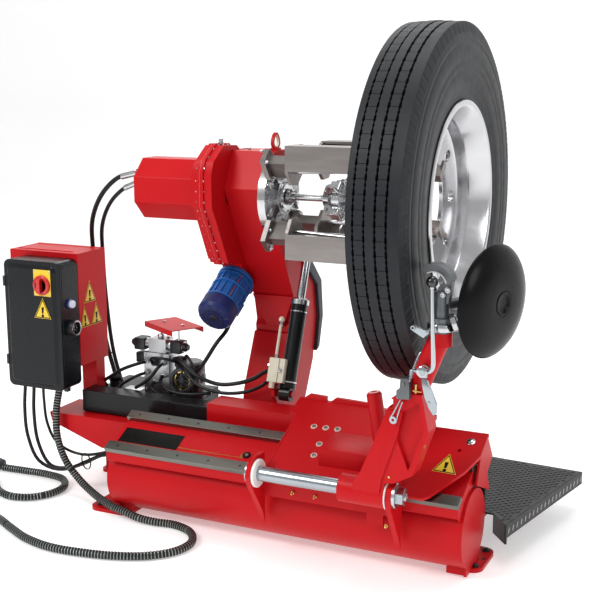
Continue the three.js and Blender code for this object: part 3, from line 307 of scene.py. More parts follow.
class Piece:
    """Several closed shapes that make one object, in machine millimetres."""

    def __init__(self, name, body, look_key, slot=None, stands_for=()):
        self.made = name, L[look_key], body, slot or MAIN_SLOT.get(body), stands_for
        self.bm = bmesh.new()

    def faces(self, rows, closed=True, caps=True):
        """Joins rings of points, each ring a list of the same length."""
        vs = [[self.bm.verts.new(p) for p in row] for row in rows]
        n = len(vs[0])
        for a, b in zip(vs, vs[1:]):
            for i in range(n if closed else n - 1):
                j = (i + 1) % n
                self.bm.faces.new((a[i], a[j], b[j], b[i]))
        if caps:
            self.bm.faces.new(vs[0])
            self.bm.faces.new(vs[-1])
        return self

    def lathe(self, at, d, profile, n=28, turn=0.0):
        """Turned solid: profile is a list of (distance along d, radius), closed at both ends."""
        u, v, d = basis(d)
        at = Vector(at)
        rows = []
        for t, r in profile:
            r = max(r, 0.02)
            rows.append([at + d * t + (u * cos(a) + v * sin(a)) * r
                         for a in (turn + tau * i / n for i in range(n))])
        return self.faces(rows)

    def ring(self, at, d, profile, n=48):
        """Turned ring: the closed profile never reaches the axis."""
        u, v, d = basis(d)
        at = Vector(at)
        rows = [[at + d * t + (u * cos(a) + v * sin(a)) * r for t, r in profile]
            for a in (tau * i / n for i in range(n))]
        vs = [[self.bm.verts.new(p) for p in row] for row in rows]
        m = len(profile)
        for i in range(n):
            a, b = vs[i], vs[(i + 1) % n]
            for k in range(m):
                self.bm.faces.new((a[k], a[(k + 1) % m], b[(k + 1) % m], b[k]))
        return self

    def rod(self, a, b, r, r2=None, n=20, edge=0.8):
        """Round bar from a to b with broken edges."""
        a, b = Vector(a), Vector(b)
        r2 = r if r2 is None else r2
        h = (b - a).length
        e = min(edge, h / 3, r / 2)
        return self.lathe(a, b - a, [(0, r - e), (e, r), (h - e, r2), (h, r2 - e)], n)

    def box(self, lo, hi, edge=1.0, turn=None, about=None):
        """Box with rounded edges, turned about a point if asked."""
        lo, hi = Vector(lo), Vector(hi)
        made = bmesh.ops.create_cube(self.bm, size=1)["verts"]
        for v in made:
            v.co = Vector([(lo[k] + hi[k]) / 2 + v.co[k] * (hi[k] - lo[k]) for k in range(3)])
        if edge:
            es = list(dict.fromkeys(e for v in made for e in v.link_edges))
            got = bmesh.ops.bevel(self.bm, geom=es, offset=edge, segments=2, profile=0.5, affect="EDGES",
                clamp_overlap=True)
            made = [v for f in got["faces"] for v in f.verts] + [v for v in made if v.is_valid]
            made = list(dict.fromkeys(made))
        if turn is not None:
            c = Vector(about) if about is not None else (lo + hi) / 2
            bmesh.ops.rotate(self.bm, verts=made, cent=c, matrix=turn)
        return self

    def prism(self, points, offset, edge=0.0):
        """Flat outline pushed along the offset."""
        off = Vector(offset)
        low = [self.bm.verts.new(p) for p in points]
        top = [self.bm.verts.new(Vector(p) + off) for p in points]
        n = len(points)
        new = [self.bm.faces.new(low), self.bm.faces.new(top)]
        for i in range(n):
            new.append(self.bm.faces.new((low[i], low[(i + 1) % n], top[(i + 1) % n], top[i])))
        if edge:
            es = list(dict.fromkeys(e for f in new for e in f.edges))
            bmesh.ops.bevel(self.bm, geom=es, offset=edge, segments=2, profile=0.5, affect="EDGES",
                clamp_overlap=True)
        return self

    def sweep(self, points, r, n=10, step=6.0, wave=None):
        """Tube along a smooth curve; wave(distance) scales its radius."""
        line = catmull(points, step) if step else [Vector(p) for p in points]
        u = None
        rows, run = [], 0.0
        for i, p in enumerate(line):
            d = (line[min(i + 1, len(line) - 1)] - line[max(i - 1, 0)]).normalized()
            if u is None:
                u = basis(d)[0]
            u = (u - d * u.dot(d)).normalized()
            v = d.cross(u)
            run += (p - line[i - 1]).length if i else 0
            q = r * (wave(run) if wave else 1)
            rows.append([p + (u * cos(a) + v * sin(a)) * q for a in (tau * k / n for k in range(n))])
        return self.faces(rows)

    def ball(self, c, r, n=24):
        rows = [(-r * cos(pi * k / 12), r * sin(pi * k / 12)) for k in range(13)]
        return self.lathe(c, ABOVE, rows, n)

    def hexbolt(self, at, d, r=6.0, h=5.0, washer=True):
        at, d = Vector(at), Vector(d).normalized()
        w = 1.6 if washer else 0
        if washer:
            self.lathe(at, d, [(0, r * 1.55), (w, r * 1.55), (w + 0.01, r * 1.2)], 24)
        self.lathe(at + d * w, d, [(0, r), (h - 1, r), (h, r * 0.86)], 6, rng.random())
        return self.lathe(at + d * (w + h - 0.01), d, [(0, r * 0.8), (0.5, r * 0.6)], 16)

    def socket(self, at, d, r=5.0, h=5.0):
        profile = [(0, r), (h - 0.8, r), (h, r * 0.86), (h, r * 0.55), (h - r * 0.6, r * 0.5)]
        return self.lathe(at, d, profile, 20)

    def done(self, angle=38):
        return finish_mesh(self.bm, *self.made, angle)


def rounded(node, material, width=1.6, angle=26, segments=2, smooth=40):
    """The CAD solid with its edges rounded and its faces smoothed, standing for the node."""
    bm = bmesh.new()
    bm.from_mesh(NODES[node].data)
    bmesh.ops.remove_doubles(bm, verts=bm.verts, dist=2e-5)
    bmesh.ops.dissolve_limit(bm, angle_limit=radians(1.0), verts=bm.verts, edges=bm.edges)
    if width:
        limit = radians(angle)
        edges = [e for e in bm.edges if len(e.link_faces) == 2 and e.calc_face_angle(0) > limit]
        if edges:
            bmesh.ops.bevel(bm, geom=edges, offset=width / 1000, segments=segments, profile=0.5,
                affect="EDGES", clamp_overlap=True)
    o = finish_mesh(bm, node + "_body", material, BODY_OF[node], SLOT_OF[node], (node,), smooth, row=True)
    if o.data.has_custom_normals:
        o.data.attributes.remove(o.data.attributes["custom_normal"])
    w = o.modifiers.new("normals", "WEIGHTED_NORMAL")
    w.keep_sharp = True
    w.weight = 80
    return o


# ---- cords
CONDUIT = [(-1340, -172, 366), (-1353, -176, 290), (-1350, -180, 200), (-1320, -182, 122), (-1262, -190, 66),
    (-1190, -216, 38), (-1120, -250, 30), (-1060, -280, 30), (-1000, -296, 27), (-950, -300, 18),
    (-890, -298, 14), (-820, -292, 14), (-745, -322, 14), (-702, -390, 14), (-712, -462, 14),
    (-770, -526, 14), (-860, -568, 14), (-960, -590, 14), (-1072, -598, 14), (-1180, -575, 14),
    (-1280, -528, 14), (-1370, -482, 14), (-1460, -464, 14), (-1550, -468, 14), (-1630, -486, 14)]
TAIL = [(-1630, -196, 14), (-1580, -240, 14), (-1520, -292, 14), (-1450, -313, 14), (-1382, -290, 14),
    (-1342, -225, 14), (-1346, -160, 14), (-1396, -104, 14), (-1480, -88, 14), (-1570, -92, 14),
    (-1660, -98, 14)]
CABLE_1 = [(-1486, -168, 366), (-1494, -168, 280), (-1488, -166, 180), (-1450, -160, 92), (-1380, -146, 66),
    (-1290, -128, 92), (-1220, -106, 128), (-1120, -90, 146)]
CABLE_2 = [(-1446, -172, 366), (-1452, -172, 270), (-1440, -170, 160), (-1398, -162, 84), (-1330, -148, 80),
    (-1260, -144, 112), (-1200, -136, 140), (-1120, -118, 152)]
COIL = (-1760, -340)


def ease(t, a, b):
    t = min(1, max(0, (t - a) / (b - a)))
    return t * t * (3 - 2 * t)


def coil_line():
    """Three and a half clockwise turns: outer and inner on the floor, then inner and outer on top of them."""
    out = []
    for i in range(1, 63):
        t = 3.5 * i / 63
        r = 163.5 - 27 * ease(t, 0.8, 0.93) + 27 * ease(t, 2.85, 3.05)
        z = 14.3 + 25.4 * ease(t, 1.95, 2.15)
        a = radians(-90) - tau * t
        out.append((COIL[0] + r * cos(a), COIL[1] + r * sin(a), z))
    return out


plug = Piece("supply_plug", "base", "guard", "plug_grey", ("conduit_plug",))
plug.lathe((-1662, -98, 24.4), LEFT, [(0, 14), (2, 19), (14, 20), (16, 22), (30, 22), (34, 24), (86, 24),
    (90, 21), (92, 22.5), (132, 22.5), (138, 19), (137, 17), (110, 16)])
for n, r, x0, x1, thick, sides in ((12, 21.5, -1700, -1742, 2.4, 8), (5, 9, -1770, -1797, 2.2, 10)):
    for y, z in around(n, r):
        plug.rod((x0, -98 + y, 24.4 + z), (x1, -98 + y, 24.4 + z), thick, n=sides)
plug = plug.done()

PITCH, SIDES = 9.8, 12
line = catmull(CONDUIT + [(-1700, -501, 14.2)] + coil_line() + TAIL, 2.45)
conduit = Piece("supply_conduit", "base", "conduit", "conduit_armour",
    ("conduit", "conduit_coil", "conduit_tail"))
conduit.sweep(line, 13, SIDES, 0, wave=lambda s: 1.0 if s % PITCH < PITCH / 2 else 0.86)
conduit = conduit.done(24)
# Faces in the dips between the ribs take the near-black second material: painted shade in the grooves.
conduit.data.materials.append(L["conduit_groove_shading"])
run, high = 0.0, [True]
for a, b in zip(line, line[1:]):
    run += (b - a).length
    high.append(run % PITCH < PITCH / 2)
for face in conduit.data.polygons:
    j = face.index // SIDES
    face.material_index = 0 if j < len(high) - 1 and high[j] and high[j + 1] else 1
conduit_path = [P(*p) for p in line[::4]]
if (conduit_path[-1] - P(*line[-1])).length > 1e-5:
    conduit_path.append(P(*line[-1]))


def cable(name, points, node, r=6):
    """Black cable between the control box and the base, as a curve."""
    c = bpy.data.curves.new(name, "CURVE")
    c.dimensions = "3D"
    path = [P(*p) for p in catmull(points, 18)]
    sp = c.splines.new("POLY")
    sp.points.add(len(path) - 1)
    for q, p in zip(sp.points, path):
        q.co = (*p, 1)
    c.bevel_depth = r / 1000
    c.bevel_resolution = 4
    c.use_fill_caps = True
    c.materials.append(L["rubber"])
    o = bpy.data.objects.new(name, c)
    show(o)
    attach(o, "base")
    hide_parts(node)


cable("cable_left", CABLE_1 + [(-1112, -88, 166)], "cable_1")
cable("cable_right", CABLE_2 + [(-1112, -116, 168)], "cable_2")


def hose(name, points, r, nodes=()):
    """Hose from the base to another body, as a fixed tube curved between them."""
    h = Piece(name, None, "rubber", SLOT_OF[nodes[0]] if nodes else "hose_black", nodes)
    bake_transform(h.sweep(points, r, 10, 12).done(60))


# ---- CAD shapes with rounded edges
PAINTED = {
    "red": [("base_tube", 0), ("end_foot_left", 1.5), ("end_foot_right", 1.5), ("rail_bed", 1.6),
        ("beam_stand", 1.2), ("control_post", 1.6), ("power_cover", 0.9), ("arm_box", 3.0),
        ("gearbox_case", 2.4), ("gearbox_cover", 2.4), ("union_housing", 3.0), ("lifting_ring", 1.6),
        ("carriage_body", 1.6), ("carriage_hood", 1.8), ("tool_arm", 3.2)],
    "red_deep": [("pivot_frame", 1.6)],
    "black": [("slide_beam", 1.6), ("lift_barrel", 1.0)],
    "box": [("control_box", 1.6), ("control_door", 1.8)],
    "tank": [("oil_tank", 2.5)],
    "dark_steel": [("pump_motor", 1.5), ("side_socket", 1.0)],
    "rail": [("lower_rail", 0.9), ("upper_rail", 0.9)],
    "steel": [("pivot_pin", 0.8), ("bearing_front", 0), ("bearing_rear", 0)],
    "jaw": [("jaw_1", 1.0), ("jaw_2", 1.0), ("jaw_3", 1.0), ("jaw_4", 1.0)],
    "turned": [("chuck_flange", 1.2), ("chuck_spindle", 0.6)],
    "bronze": [("worm_wheel", 0.6)],
    "alu": [("valve_block", 1.5)],
    "bright": [("jaw_spider", 1.6)],
    "chrome": [("lift_rod", 0.8)],
    "shaft": [("pivot_shaft", 1.0)],
    "cream": [("lock_valve", 1.2)],
    "blue": [("motor_body", 1.6)],
    "blue_deep": [("fan_cover", 1.4)],
    "guard": [("guard_plate", 3.0)],
    "cast": [("tool_head", 2.0)],
    "plate": [("platform", 0.9)],
    "lens": [("side_lamp", 1.5)],
    "knob": [("switch_knob", 2.0)],
}
for key, nodes in PAINTED.items():
    for node, width in nodes:
        rounded(node, L[key], width)


# ---- wheel
def make_tyre():
    """Five ribs with zigzag edges and sipes, notched shoulders, ringed sidewalls and beads."""
    x0 = -146.0
    ribs = [(0, 18), (23.5, 49), (54.5, 79), (84.5, 109), (114.5, 146)]
    half = []
    for i, (a, b) in enumerate(ribs):
        crown = 527 - 1.6 * abs(i - 2)
        left, right, sipe = int(i > 0), int(i < 4), 3 if i in (1, 3) else 0
        half += [(x0 + a, crown, left, 0), (x0 + a + (b - a) * 0.32, crown, 0, sipe),
            (x0 + a + (b - a) * 0.68, crown, 0, sipe), (x0 + b, crown, -right, 0)]
        if i < 4:
            g = (b + ribs[i + 1][0]) / 2
            half += [(x0 + g - 1.5, 513, 0, 0), (x0 + g + 1.5, 513, 0, 0)]
    side = [(3.5, 517, 0, 7), (7, 506, 0, 7), (9.5, 497, 0, 5), (10.5, 491), (9.5, 487), (12, 482),
        (12.8, 470), (11.6, 466), (13.6, 462), (14.6, 440), (15, 420), (13.6, 416), (15, 412), (14.6, 396),
        (13.2, 392), (14.2, 388), (12.4, 366), (10.2, 346), (8.4, 342), (8.6, 336), (6, 326), (3.4, 318),
        (4.6, 314), (2, 308.4), (0.4, 304)]
    inside = [(-8, 307.5), (-14, 330), (-2, 400), (-18, 490), (-128, 490), (-144, 400), (-132, 330),
        (-138, 307.5)]
    side, inside = [[(*row, 0, 0)[:4] for row in rows] for rows in (side, inside)]
    other = [(x0 - x, r, 0, c) for x, r, _, c in reversed(side)]
    profile = other + half + side + inside
    bm = bmesh.new()
    turns = []
    for block in range(84):
        for share, low, tooth in ((0, 0, 1), (0.012, 1, 1), (0.034, 1, 1), (0.046, 0, 1), (0.25, 0, -1),
                (0.42, 0, 1), (0.6, 0, -1), (0.8, 0, 1)):
            turns.append((tau * (block + share) / 84, low, tooth, share))
    n = len(turns)
    rings = []
    for a, low, tooth, share in turns:
        row = []
        notch = 0.2 < share < 0.5 or share > 0.7
        for x, r, w, cut in profile:
            q = r
            dx = w * (1.1 * tooth + (2.0 if low else 0))
            if cut == 3:
                q -= 4 * low
            elif cut > 4 and notch:
                q -= 2.2
                dx -= copysign(1.2, x + 73)
            row.append(bm.verts.new((x + dx, q * cos(a), AXIS_Z + q * sin(a))))
        rings.append(row)
    m = len(profile)
    for k in range(n):
        a, b = rings[k], rings[(k + 1) % n]
        for i in range(m):
            j = (i + 1) % m
            bm.faces.new((a[i], a[j], b[j], b[i]))
    return finish_mesh(bm, "tyre_body", L["tyre"], "chuck", SLOT_OF["truck_tyre"], ("truck_tyre",), 42)


def make_rim():
    """Polished one-piece rim with flanges, bead seats, drop centre, stepped dish and hand holes."""
    profile = [(9.4, 288.5), (10, 290), (10, 301), (9, 304), (6, 305.6), (3, 305), (1.5, 302), (1.2, 297),
        (-2, 295.7), (-16, 294), (-30, 282), (-56, 264), (-98, 264), (-120, 282), (-132, 294), (-147, 295.7),
        (-147.5, 303), (-150, 305.6), (-154, 305), (-156, 302), (-156, 289), (-150, 284), (-112, 262),
        (-107.5, 257), (-108, 250), (-113, 222), (-116.5, 190), (-115.5, 160), (-112.5, 143), (-111.5, 140.3),
        (-101, 140.3), (-100, 142), (-103, 160), (-103.5, 190), (-100, 222), (-93, 246), (-88, 251.5),
        (-80, 253), (-56, 253.6), (-50, 256), (-20, 272), (2, 283)]
    p = Piece("rim_body", "chuck", "rim", SLOT_OF["wheel_rim"], ("wheel_rim",))
    p.ring((0, 0, AXIS_Z), RIGHT, profile, 160)
    o = p.done(30)
    cutter = Piece("rim_cutter", None, "rim")
    for y, z in around(10, 218):
        cutter.rod((-140, y, AXIS_Z + z), (-70, y, AXIS_Z + z), 19, n=32, edge=0.1)
    c = cutter.done()
    b = o.modifiers.new("holes", "BOOLEAN")
    b.operation, b.solver, b.object = "DIFFERENCE", "EXACT", c
    dg = bpy.context.evaluated_depsgraph_get()
    me = bpy.data.meshes.new_from_object(o.evaluated_get(dg))
    o.modifiers.clear()
    o.data = me
    bpy.data.objects.remove(c)
    me.set_sharp_from_angle(angle=radians(34))
    return o


make_tyre()
make_rim()
p = Piece("rim_valve", "chuck", "bright", "rim_aluminium")
p.lathe((-78, 0, AXIS_Z - 246), (0.75, 0, 0.35), [(0, 5), (6, 5), (8, 3.4), (38, 3.4), (39, 4.6), (50, 4.4),
    (52, 3)], 16)
p.done()
p = Piece("rim_weights", "chuck", "cast", "rim_aluminium")
for a0 in (1.9, 4.4):
    for k in range(4):
        a = a0 + k * 0.04
        p.box((-3, 279, -7), (3, 284, 7), 1.0, Matrix.Rotation(a, 3, "X"), (0, 0, 0))
for v in p.bm.verts:
    v.co.z += AXIS_Z
p.done()

# ---- chuck
AX = Vector((0, 0, AXIS_Z))


def turned(a):
    return Matrix.Rotation(a, 3, "X")


def spin(p, a):
    """A point made for the +Z direction, turned about the chuck axis."""
    return turned(a) @ Vector(p) + AX


for i, body in enumerate(("jaw_a", "jaw_b", "jaw_c", "jaw_d")):
    node = f"jaw_{i + 1}"
    a = pi / 4 + i * pi / 2
    # Near-black discs on the jaw plate stand for its holes: painted shade.
    holes = Piece(f"{node}_holes", body, "hole_shade_paint", SLOT_OF[node])
    for z in (132, 160):
        holes.lathe(spin((-490.3, 0, z), a), LEFT, [(0, 6.5), (0.5, 6.5)], 20)
    holes.lathe(spin((-490.3, -26, 178), a), LEFT, [(0, 5.5), (0.5, 5.5)], 20)
    holes.done()
    trim = Piece(f"{node}_fittings", body, "bright", SLOT_OF[node])
    for z in (116, 150, 186):
        trim.hexbolt(spin((-561.6, 22 if z == 150 else -20, z), a), RIGHT, 5, 5)
    trim.hexbolt(spin((-490.2, 24, 178), a), LEFT, 5, 5)
    trim.hexbolt(spin((-490.2, 0, 112), a), LEFT, 4.4, 4)
    for x in (-440, -300):
        trim.prism([spin((x, -40, 176), a), spin((x + 6, -40, 176), a), spin((x + 6, 0, 216), a),
            spin((x, 0, 216), a)], turned(a) @ Vector((0, 30, -8)), 1.2)
    for s in (-1, 1):
        trim.rod(spin((-478, s * 24, 150), a), spin((-214, s * 24, 164), a), 5.5, n=16)
        trim.lathe(spin((-226, s * 24, 163.4), a), RIGHT, [(0, 8), (3, 9), (14, 9), (18, 6)], 18)
    trim.lathe(spin((-119, -15, 128), a), turned(a) @ Vector(REAR), [(0, 9), (1, 10), (29, 10), (30, 9)], 20)
    trim.done()

p = Piece("flange_bolts", "chuck", "bright", "flange_steel")
for i in range(4):
    for r in (74, 108):
        p.socket(spin((-578, 0, r), i * pi / 2), RIGHT, 6, 6)
for i in range(4):
    a = pi / 4 + i * pi / 2
    for s in (-1, 1):
        p.box((-578, s * 43 - 3, 84), (-571, s * 43 + 3, 112), 1.2, turned(a), (0, 0, 0))
for v in p.bm.verts:
    if v.co.z < AXIS_Z / 2:
        v.co.z += AXIS_Z
p.ring(AX + Vector((-565.8, 0, 0)), RIGHT, [(0, 26), (0, 46), (4, 46), (7, 42), (7, 30), (5, 26)], 48)
p.lathe(AX + Vector((-557, 0, 0)), RIGHT, [(0, 24), (12, 24), (16, 18), (30, 18), (32, 15)], 32)
p.done(30)

p = Piece("spider_arms", "spider", "bright", "spider_steel")
for i in range(4):
    a = pi / 4 + i * pi / 2
    for s in (-1, 1):
        pts = [spin((-372, s * 8, 34), a), spin((-362, s * 18, 46), a), spin((-362, s * 22, 60), a),
            spin((-374, s * 14, 69), a)]
        p.sweep(pts, 5.5, 10, 4)
    p.rod(spin((-366, -17, 62), a), spin((-366, 17, 62), a), 6, n=16)
    p.rod(spin((-414, -12, 44), a), spin((-414, 12, 44), a), 6, n=16)
    p.hexbolt(spin((-378, 14, 64), a), turned(a) @ Vector(REAR), 4, 3, False)
p.ring(AX + Vector((-352.3, 0, 0)), RIGHT, [(0, 12), (0, 20), (1, 21), (8, 18), (9, 15), (9, 12)], 6)
p.done()

# ---- chuck arm and gearbox
p = Piece("gearbox_bolts", "chuck_arm", "bright", "red_gearbox")
OUT = [(-46, 1202), (42, 1199), (100, 1160), (128, 1030), (134, 860), (156, 768), (150, 692), (133, 685),
    (61, 800), (-26, 812), (-106, 960), (-133, 1010), (-133, 1112), (-116, 1154)]
for (y0, z0), (y1, z1) in zip(OUT, OUT[1:] + OUT[:1]):
    run = hypot(y1 - y0, z1 - z0)
    k = max(1, round(run / 34))
    for j in range(k):
        f = (j + 0.5) / k
        y, z = y0 + (y1 - y0) * f, z0 + (z1 - z0) * f
        m = 5.4 / hypot(y, z - 960)
        y, z = y - y * m, z - (z - 960) * m
        p.hexbolt((-812.2, y, z), LEFT, 3.6, 2.6, False)
        p.hexbolt((-787.8, y, z), RIGHT, 3.6, 2.6, False)
p.done()
Piece("gearbox_gasket", "chuck_arm", "pink", "red_gear_cover").prism([(-800.28, y, z) for y, z in OUT],
    (-800.02 + 800.28, 0, 0)).done()

p = Piece("gearbox_fittings", "chuck_arm", "bright", "red_gear_cover")
p.lathe((-784, -20, 1200.4), (0, 0.02, 1), [(0, 9), (4, 9), (4.2, 7), (10, 7), (11, 8), (15, 7.4), (17, 4)],
    20)
for x, y in ((-640, -18), (-724, 60)):
    p.hexbolt((x, y, 1177.6), ABOVE, 5.5, 4.5)
for y, z in ((-2, 1094), (0, 1062)):
    p.lathe((-1066, y, z), LEFT, [(0, 12), (3, 12), (3.1, 9), (14, 9), (15, 11), (22, 11), (23, 8)], 6)
    p.ball((-1096, y, z + 1), 10, 18)
    p.rod((-1096, y, z), (-1112, y, z + 6), 8.6, 8.6, 14)
    p.lathe((-1110, y, z + 5), (-0.93, 0, 0.36), [(0, 10), (2, 11), (10, 11), (12, 9)], 6)
p.done()

p = Piece("arm_weld_beads", "chuck_arm", "red", "red_arm")
for x in (-757.5, -612.5):
    p.sweep([(x, 8, 1178.2), (x, 70, 1178.6), (x, 134, 1178.2)], 1.9, 8, 4, weld(0.22, 1.3))
for x in (-632, -612):
    p.sweep([(x, 28, 1178.6), (x, 56, 1178.6)], 2.4, 8, 3, weld(0.2, 1.3))
p.done()
p = Piece("ring_inside", "chuck_arm", "cream_ring", "ring_red")
pts = []
for i in range(24):
    t = tau * i / 24
    pts.append((42 + (24 - 7 * sin(t)) * cos(t) * 0.7, 1210.4 + 26 * sin(t) * 0.755))
rows = []
for x, k in ((-626.6, 1.0), (-617.4, 1.0), (-617.4, 0.93), (-626.6, 0.93)):
    rows.append([(x, 42 + (y - 42) * k, 1210.4 + (z - 1210.4) * k) for y, z in pts])
p.faces(rows + [rows[0]], caps=False)
bmesh.ops.remove_doubles(p.bm, verts=p.bm.verts, dist=0.001)
p.done()

MOTOR_TILT = -pi / 2 + 0.56


def M(x, y, z):
    """Motor coordinates: its axis runs along -Z before it is tilted."""
    x, y, z = Vector((x, y, z))
    c, s = cos(MOTOR_TILT), sin(MOTOR_TILT)
    return Vector((-797 + x, 97 + y * c - z * s, 743 + y * s + z * c))


ALONG_MOTOR = M(0, 0, -1) - M(0, 0, 0)
p = Piece("motor_fittings", "chuck_arm", "dark_steel", "motor_blue")
for (x0, y0), (x1, y1) in zip(around(12, 28), around(12, 54)):
    p.rod(M(x0, y0, -191.6), M(x1, y1, -186.6), 1.4, n=8)
p.lathe(M(0, 0, -190), M(0, 0, -193) - M(0, 0, -190), [(0, 14), (2.2, 14), (3, 11)], 24)
for r in (22, 34):
    p.ring(M(0, 0, -191.4), M(0, 0, -192) - M(0, 0, -191), [(0, r - 1.3), (0, r + 1.3), (1.6, r + 1.3),
        (1.6, r - 1.3)], 40)
p.done()
p = Piece("motor_bands", "chuck_arm", "blue", "motor_blue")
for z in (-20, -60, -124):
    p.ring(M(0, 0, z), ALONG_MOTOR, [(0, 55), (0, 61.5), (3, 62.5), (6, 61.5), (6, 55)], 48)
p.done()
p = Piece("motor_screws", "chuck_arm", "bright", "motor_blue")
for k in range(4):
    a = pi / 4 + k * pi / 2
    p.hexbolt(M(50 * cos(a), 50 * sin(a), -13.8), ALONG_MOTOR, 4.4, 3.5)
    p.rod(M(57 * cos(a), 57 * sin(a), -128), M(57 * cos(a), 57 * sin(a), -16), 2.2, n=10)
p.done()
p = Piece("guard_screws", "chuck_arm", "bright", "guard_grey")
for x in (-742, -616):
    p.hexbolt((x, 351.5, 730), (0, 0.72, 0.7), 5, 4)
    p.hexbolt((x, 362.6, 600), REAR, 5, 2)
p.done()

# ---- bed and carriage
UP = S(0, 0, 1) - S(0, 0, 0)
LIFT = S(0, 0, 0.7) - S(0, 0, 0)
Piece("bed_label", "base", "ink", "red_bed").prism(
    on_slope(0.2, (-1036, 50), (-818, 50), (-818, 114), (-1036, 114)), S(0, 0, 0.8) - S(0, 0, 0), 0.3).done()
p = Piece("bed_stripe", "base", "brass", "red_bed")
p.prism(on_slope(0.2, (-816, 60), (-596, 60), (-596, 62.4), (-816, 62.4)), LIFT)
p.prism(on_slope(0.2, (-597, 58), (-586, 58), (-590, 86), (-598, 80)), LIFT)
p.done()
Piece("bed_screw_ring", "base", "ink", "red_bed").ring(S(-578, 74, 0.1), UP,
    [(0, 6), (0, 12.5), (4, 12.5), (5.5, 10.5), (5.5, 7), (4, 6)], 36).done()
Piece("bed_screw", "base", "bright", "red_bed").socket(S(-578, 74, 0), UP, 6.6, 5).done()

p = Piece("rail_screws", "base", "dark_steel", "rail_steel_low")
for s in (15, 163):
    for x in range(-1010, 90, 110):
        if not -498 < x < -24:
            p.lathe(S(x, s, 16), UP, [(0, 4.6), (0.25, 4.6), (0.25, 2.6), (0.1, 2.4)], 18)
p.done()

p = Piece("carriage_screws", "carriage", "bright")
SCREWS = ((-398, 204), (-359, 205), (-320, 206), (-352, 134), (-350, 86))
for x, s in SCREWS:
    p.socket(S(x, s, 33.8), UP, 6.4, 4)
p.done()
p = Piece("carriage_rings", "carriage", "cream_ring")
for x, s in SCREWS:
    p.ring(S(x, s, 33.8), UP, [(0, 6.8), (1.6, 6.8), (1.6, 10), (0, 10.4)], 28)
p.done()
Piece("carriage_step", "carriage", "red").prism([(-322, -292, 284), (-322, -292, 341),
    (-322, -163, 354.5), (-322, -163, 350)], (160, 0, 0), 2.5).done()
Piece("post_sleeve", "carriage", "red").rod((-130.6, -250, 306), (-165.4, -250, 516), 22.5,
    n=32).done()
p = Piece("grease_nipples", "carriage", "brass")
for x, z in ((-378, 214), (-306, 214), (-54, 200)):
    p.lathe((x, -346 if x < -100 else -428, z), (0, -1, -0.15), [(0, 5.4), (4, 5.4), (4.2, 3.4), (9, 3.2),
        (11, 4.3), (13, 3.6), (14.5, 1.8)], 6)
p.done()
p = Piece("carriage_welds", "carriage", "red")
for x in (-474, -48):
    p.sweep([S(x, 24, 34.2), S(x, 180, 34.2)], 1.7, 8, 4, weld(0.2, 1.2))
p.sweep([(-478, -345.5, 262), (-44, -345.5, 262)], 1.7, 8, 4, weld(0.2, 1.2))
for x in (-491, -477.5):
    p.sweep([(x, -352, 318), (x, -392, 322.5), (x, -419, 304.5)], 1.2, 8, 4)
a = Vector((-128, -250, 290)) + Vector((-38, 0, 230)).normalized() * 24
u, v, d = basis((-38, 0, 230))
p.sweep([a + (u * cos(t) + v * sin(t)) * 19.4 - d * (sin(t) * 6) for t in (k * pi / 8 for k in range(17))],
    2.2, 8, 4)
p.done()
p = Piece("stop_post_ring", "carriage", "pink")
top = Vector((-166, -250, 520))
p.ring(top + d * 0.1, d, [(0, 9.6), (0, 17.6), (0.8, 17.8), (1.4, 17), (1.4, 10)], 36)
p.done()
# Near-black disc down in the post sleeve: painted shade inside its bore.
Piece("stop_post_hole_shading", "carriage", "hole_shade_paint").lathe(top - d * 26, d, [(0, 8.8), (1, 8.8)],
    24).done()


def on_shaft(x):
    """A point on the axis of the pivot shaft."""
    return (x, -388, 273)


p = Piece("shaft_washers", "carriage", "nylon", "shaft_chrome")
p.ring(on_shaft(-476), RIGHT, [(0, 22.6), (0, 40), (2, 42), (8, 42), (10, 40), (10, 22.6)], 56)
p.ring(on_shaft(-63), RIGHT, [(-2.8, 22.6), (-2.8, 43), (0.4, 43), (0.4, 22.6)], 56)
p.done()
p = Piece("shaft_nut", "carriage", "bright", "shaft_chrome")
p.ring(on_shaft(-45.4), RIGHT, [(0, 34), (0, 36), (5, 36), (6.5, 34.5), (8, 34)], 48)
p.lathe(on_shaft(-16), RIGHT, [(-0.4, 22), (0.6, 22), (0.6, 12), (-0.2, 11)], 6, 0.2)
p.lathe(on_shaft(-16), RIGHT, [(0, 11), (4.6, 10.6), (5.6, 9), (5.6, 4), (3, 3.4)], 24)
p.done()

p = Piece("hood_bolts", "carriage", "bright", "red_hood")
p.lathe(S(91, 232, 34), UP, [(0, 13), (1.6, 13), (2.2, 12)], 28)
p.hexbolt(S(91, 232, 36), UP, 8, 4.5, False)
p.hexbolt(S(-30, 262, 34), UP, 4.6, 3)
p.done()
# Near-black disc on the hood for a hole: painted shade.
Piece("hood_hole_shading", "carriage", "hole_shade_paint", "red_hood").lathe(S(68, 192, 23), UP, [(0, 5.7), (1, 5.7)],
    20).done()


def outset(points, k):
    c = sum((Vector(p) for p in points), Vector()) / len(points)
    return [c + (Vector(p) - c) * k for p in points]


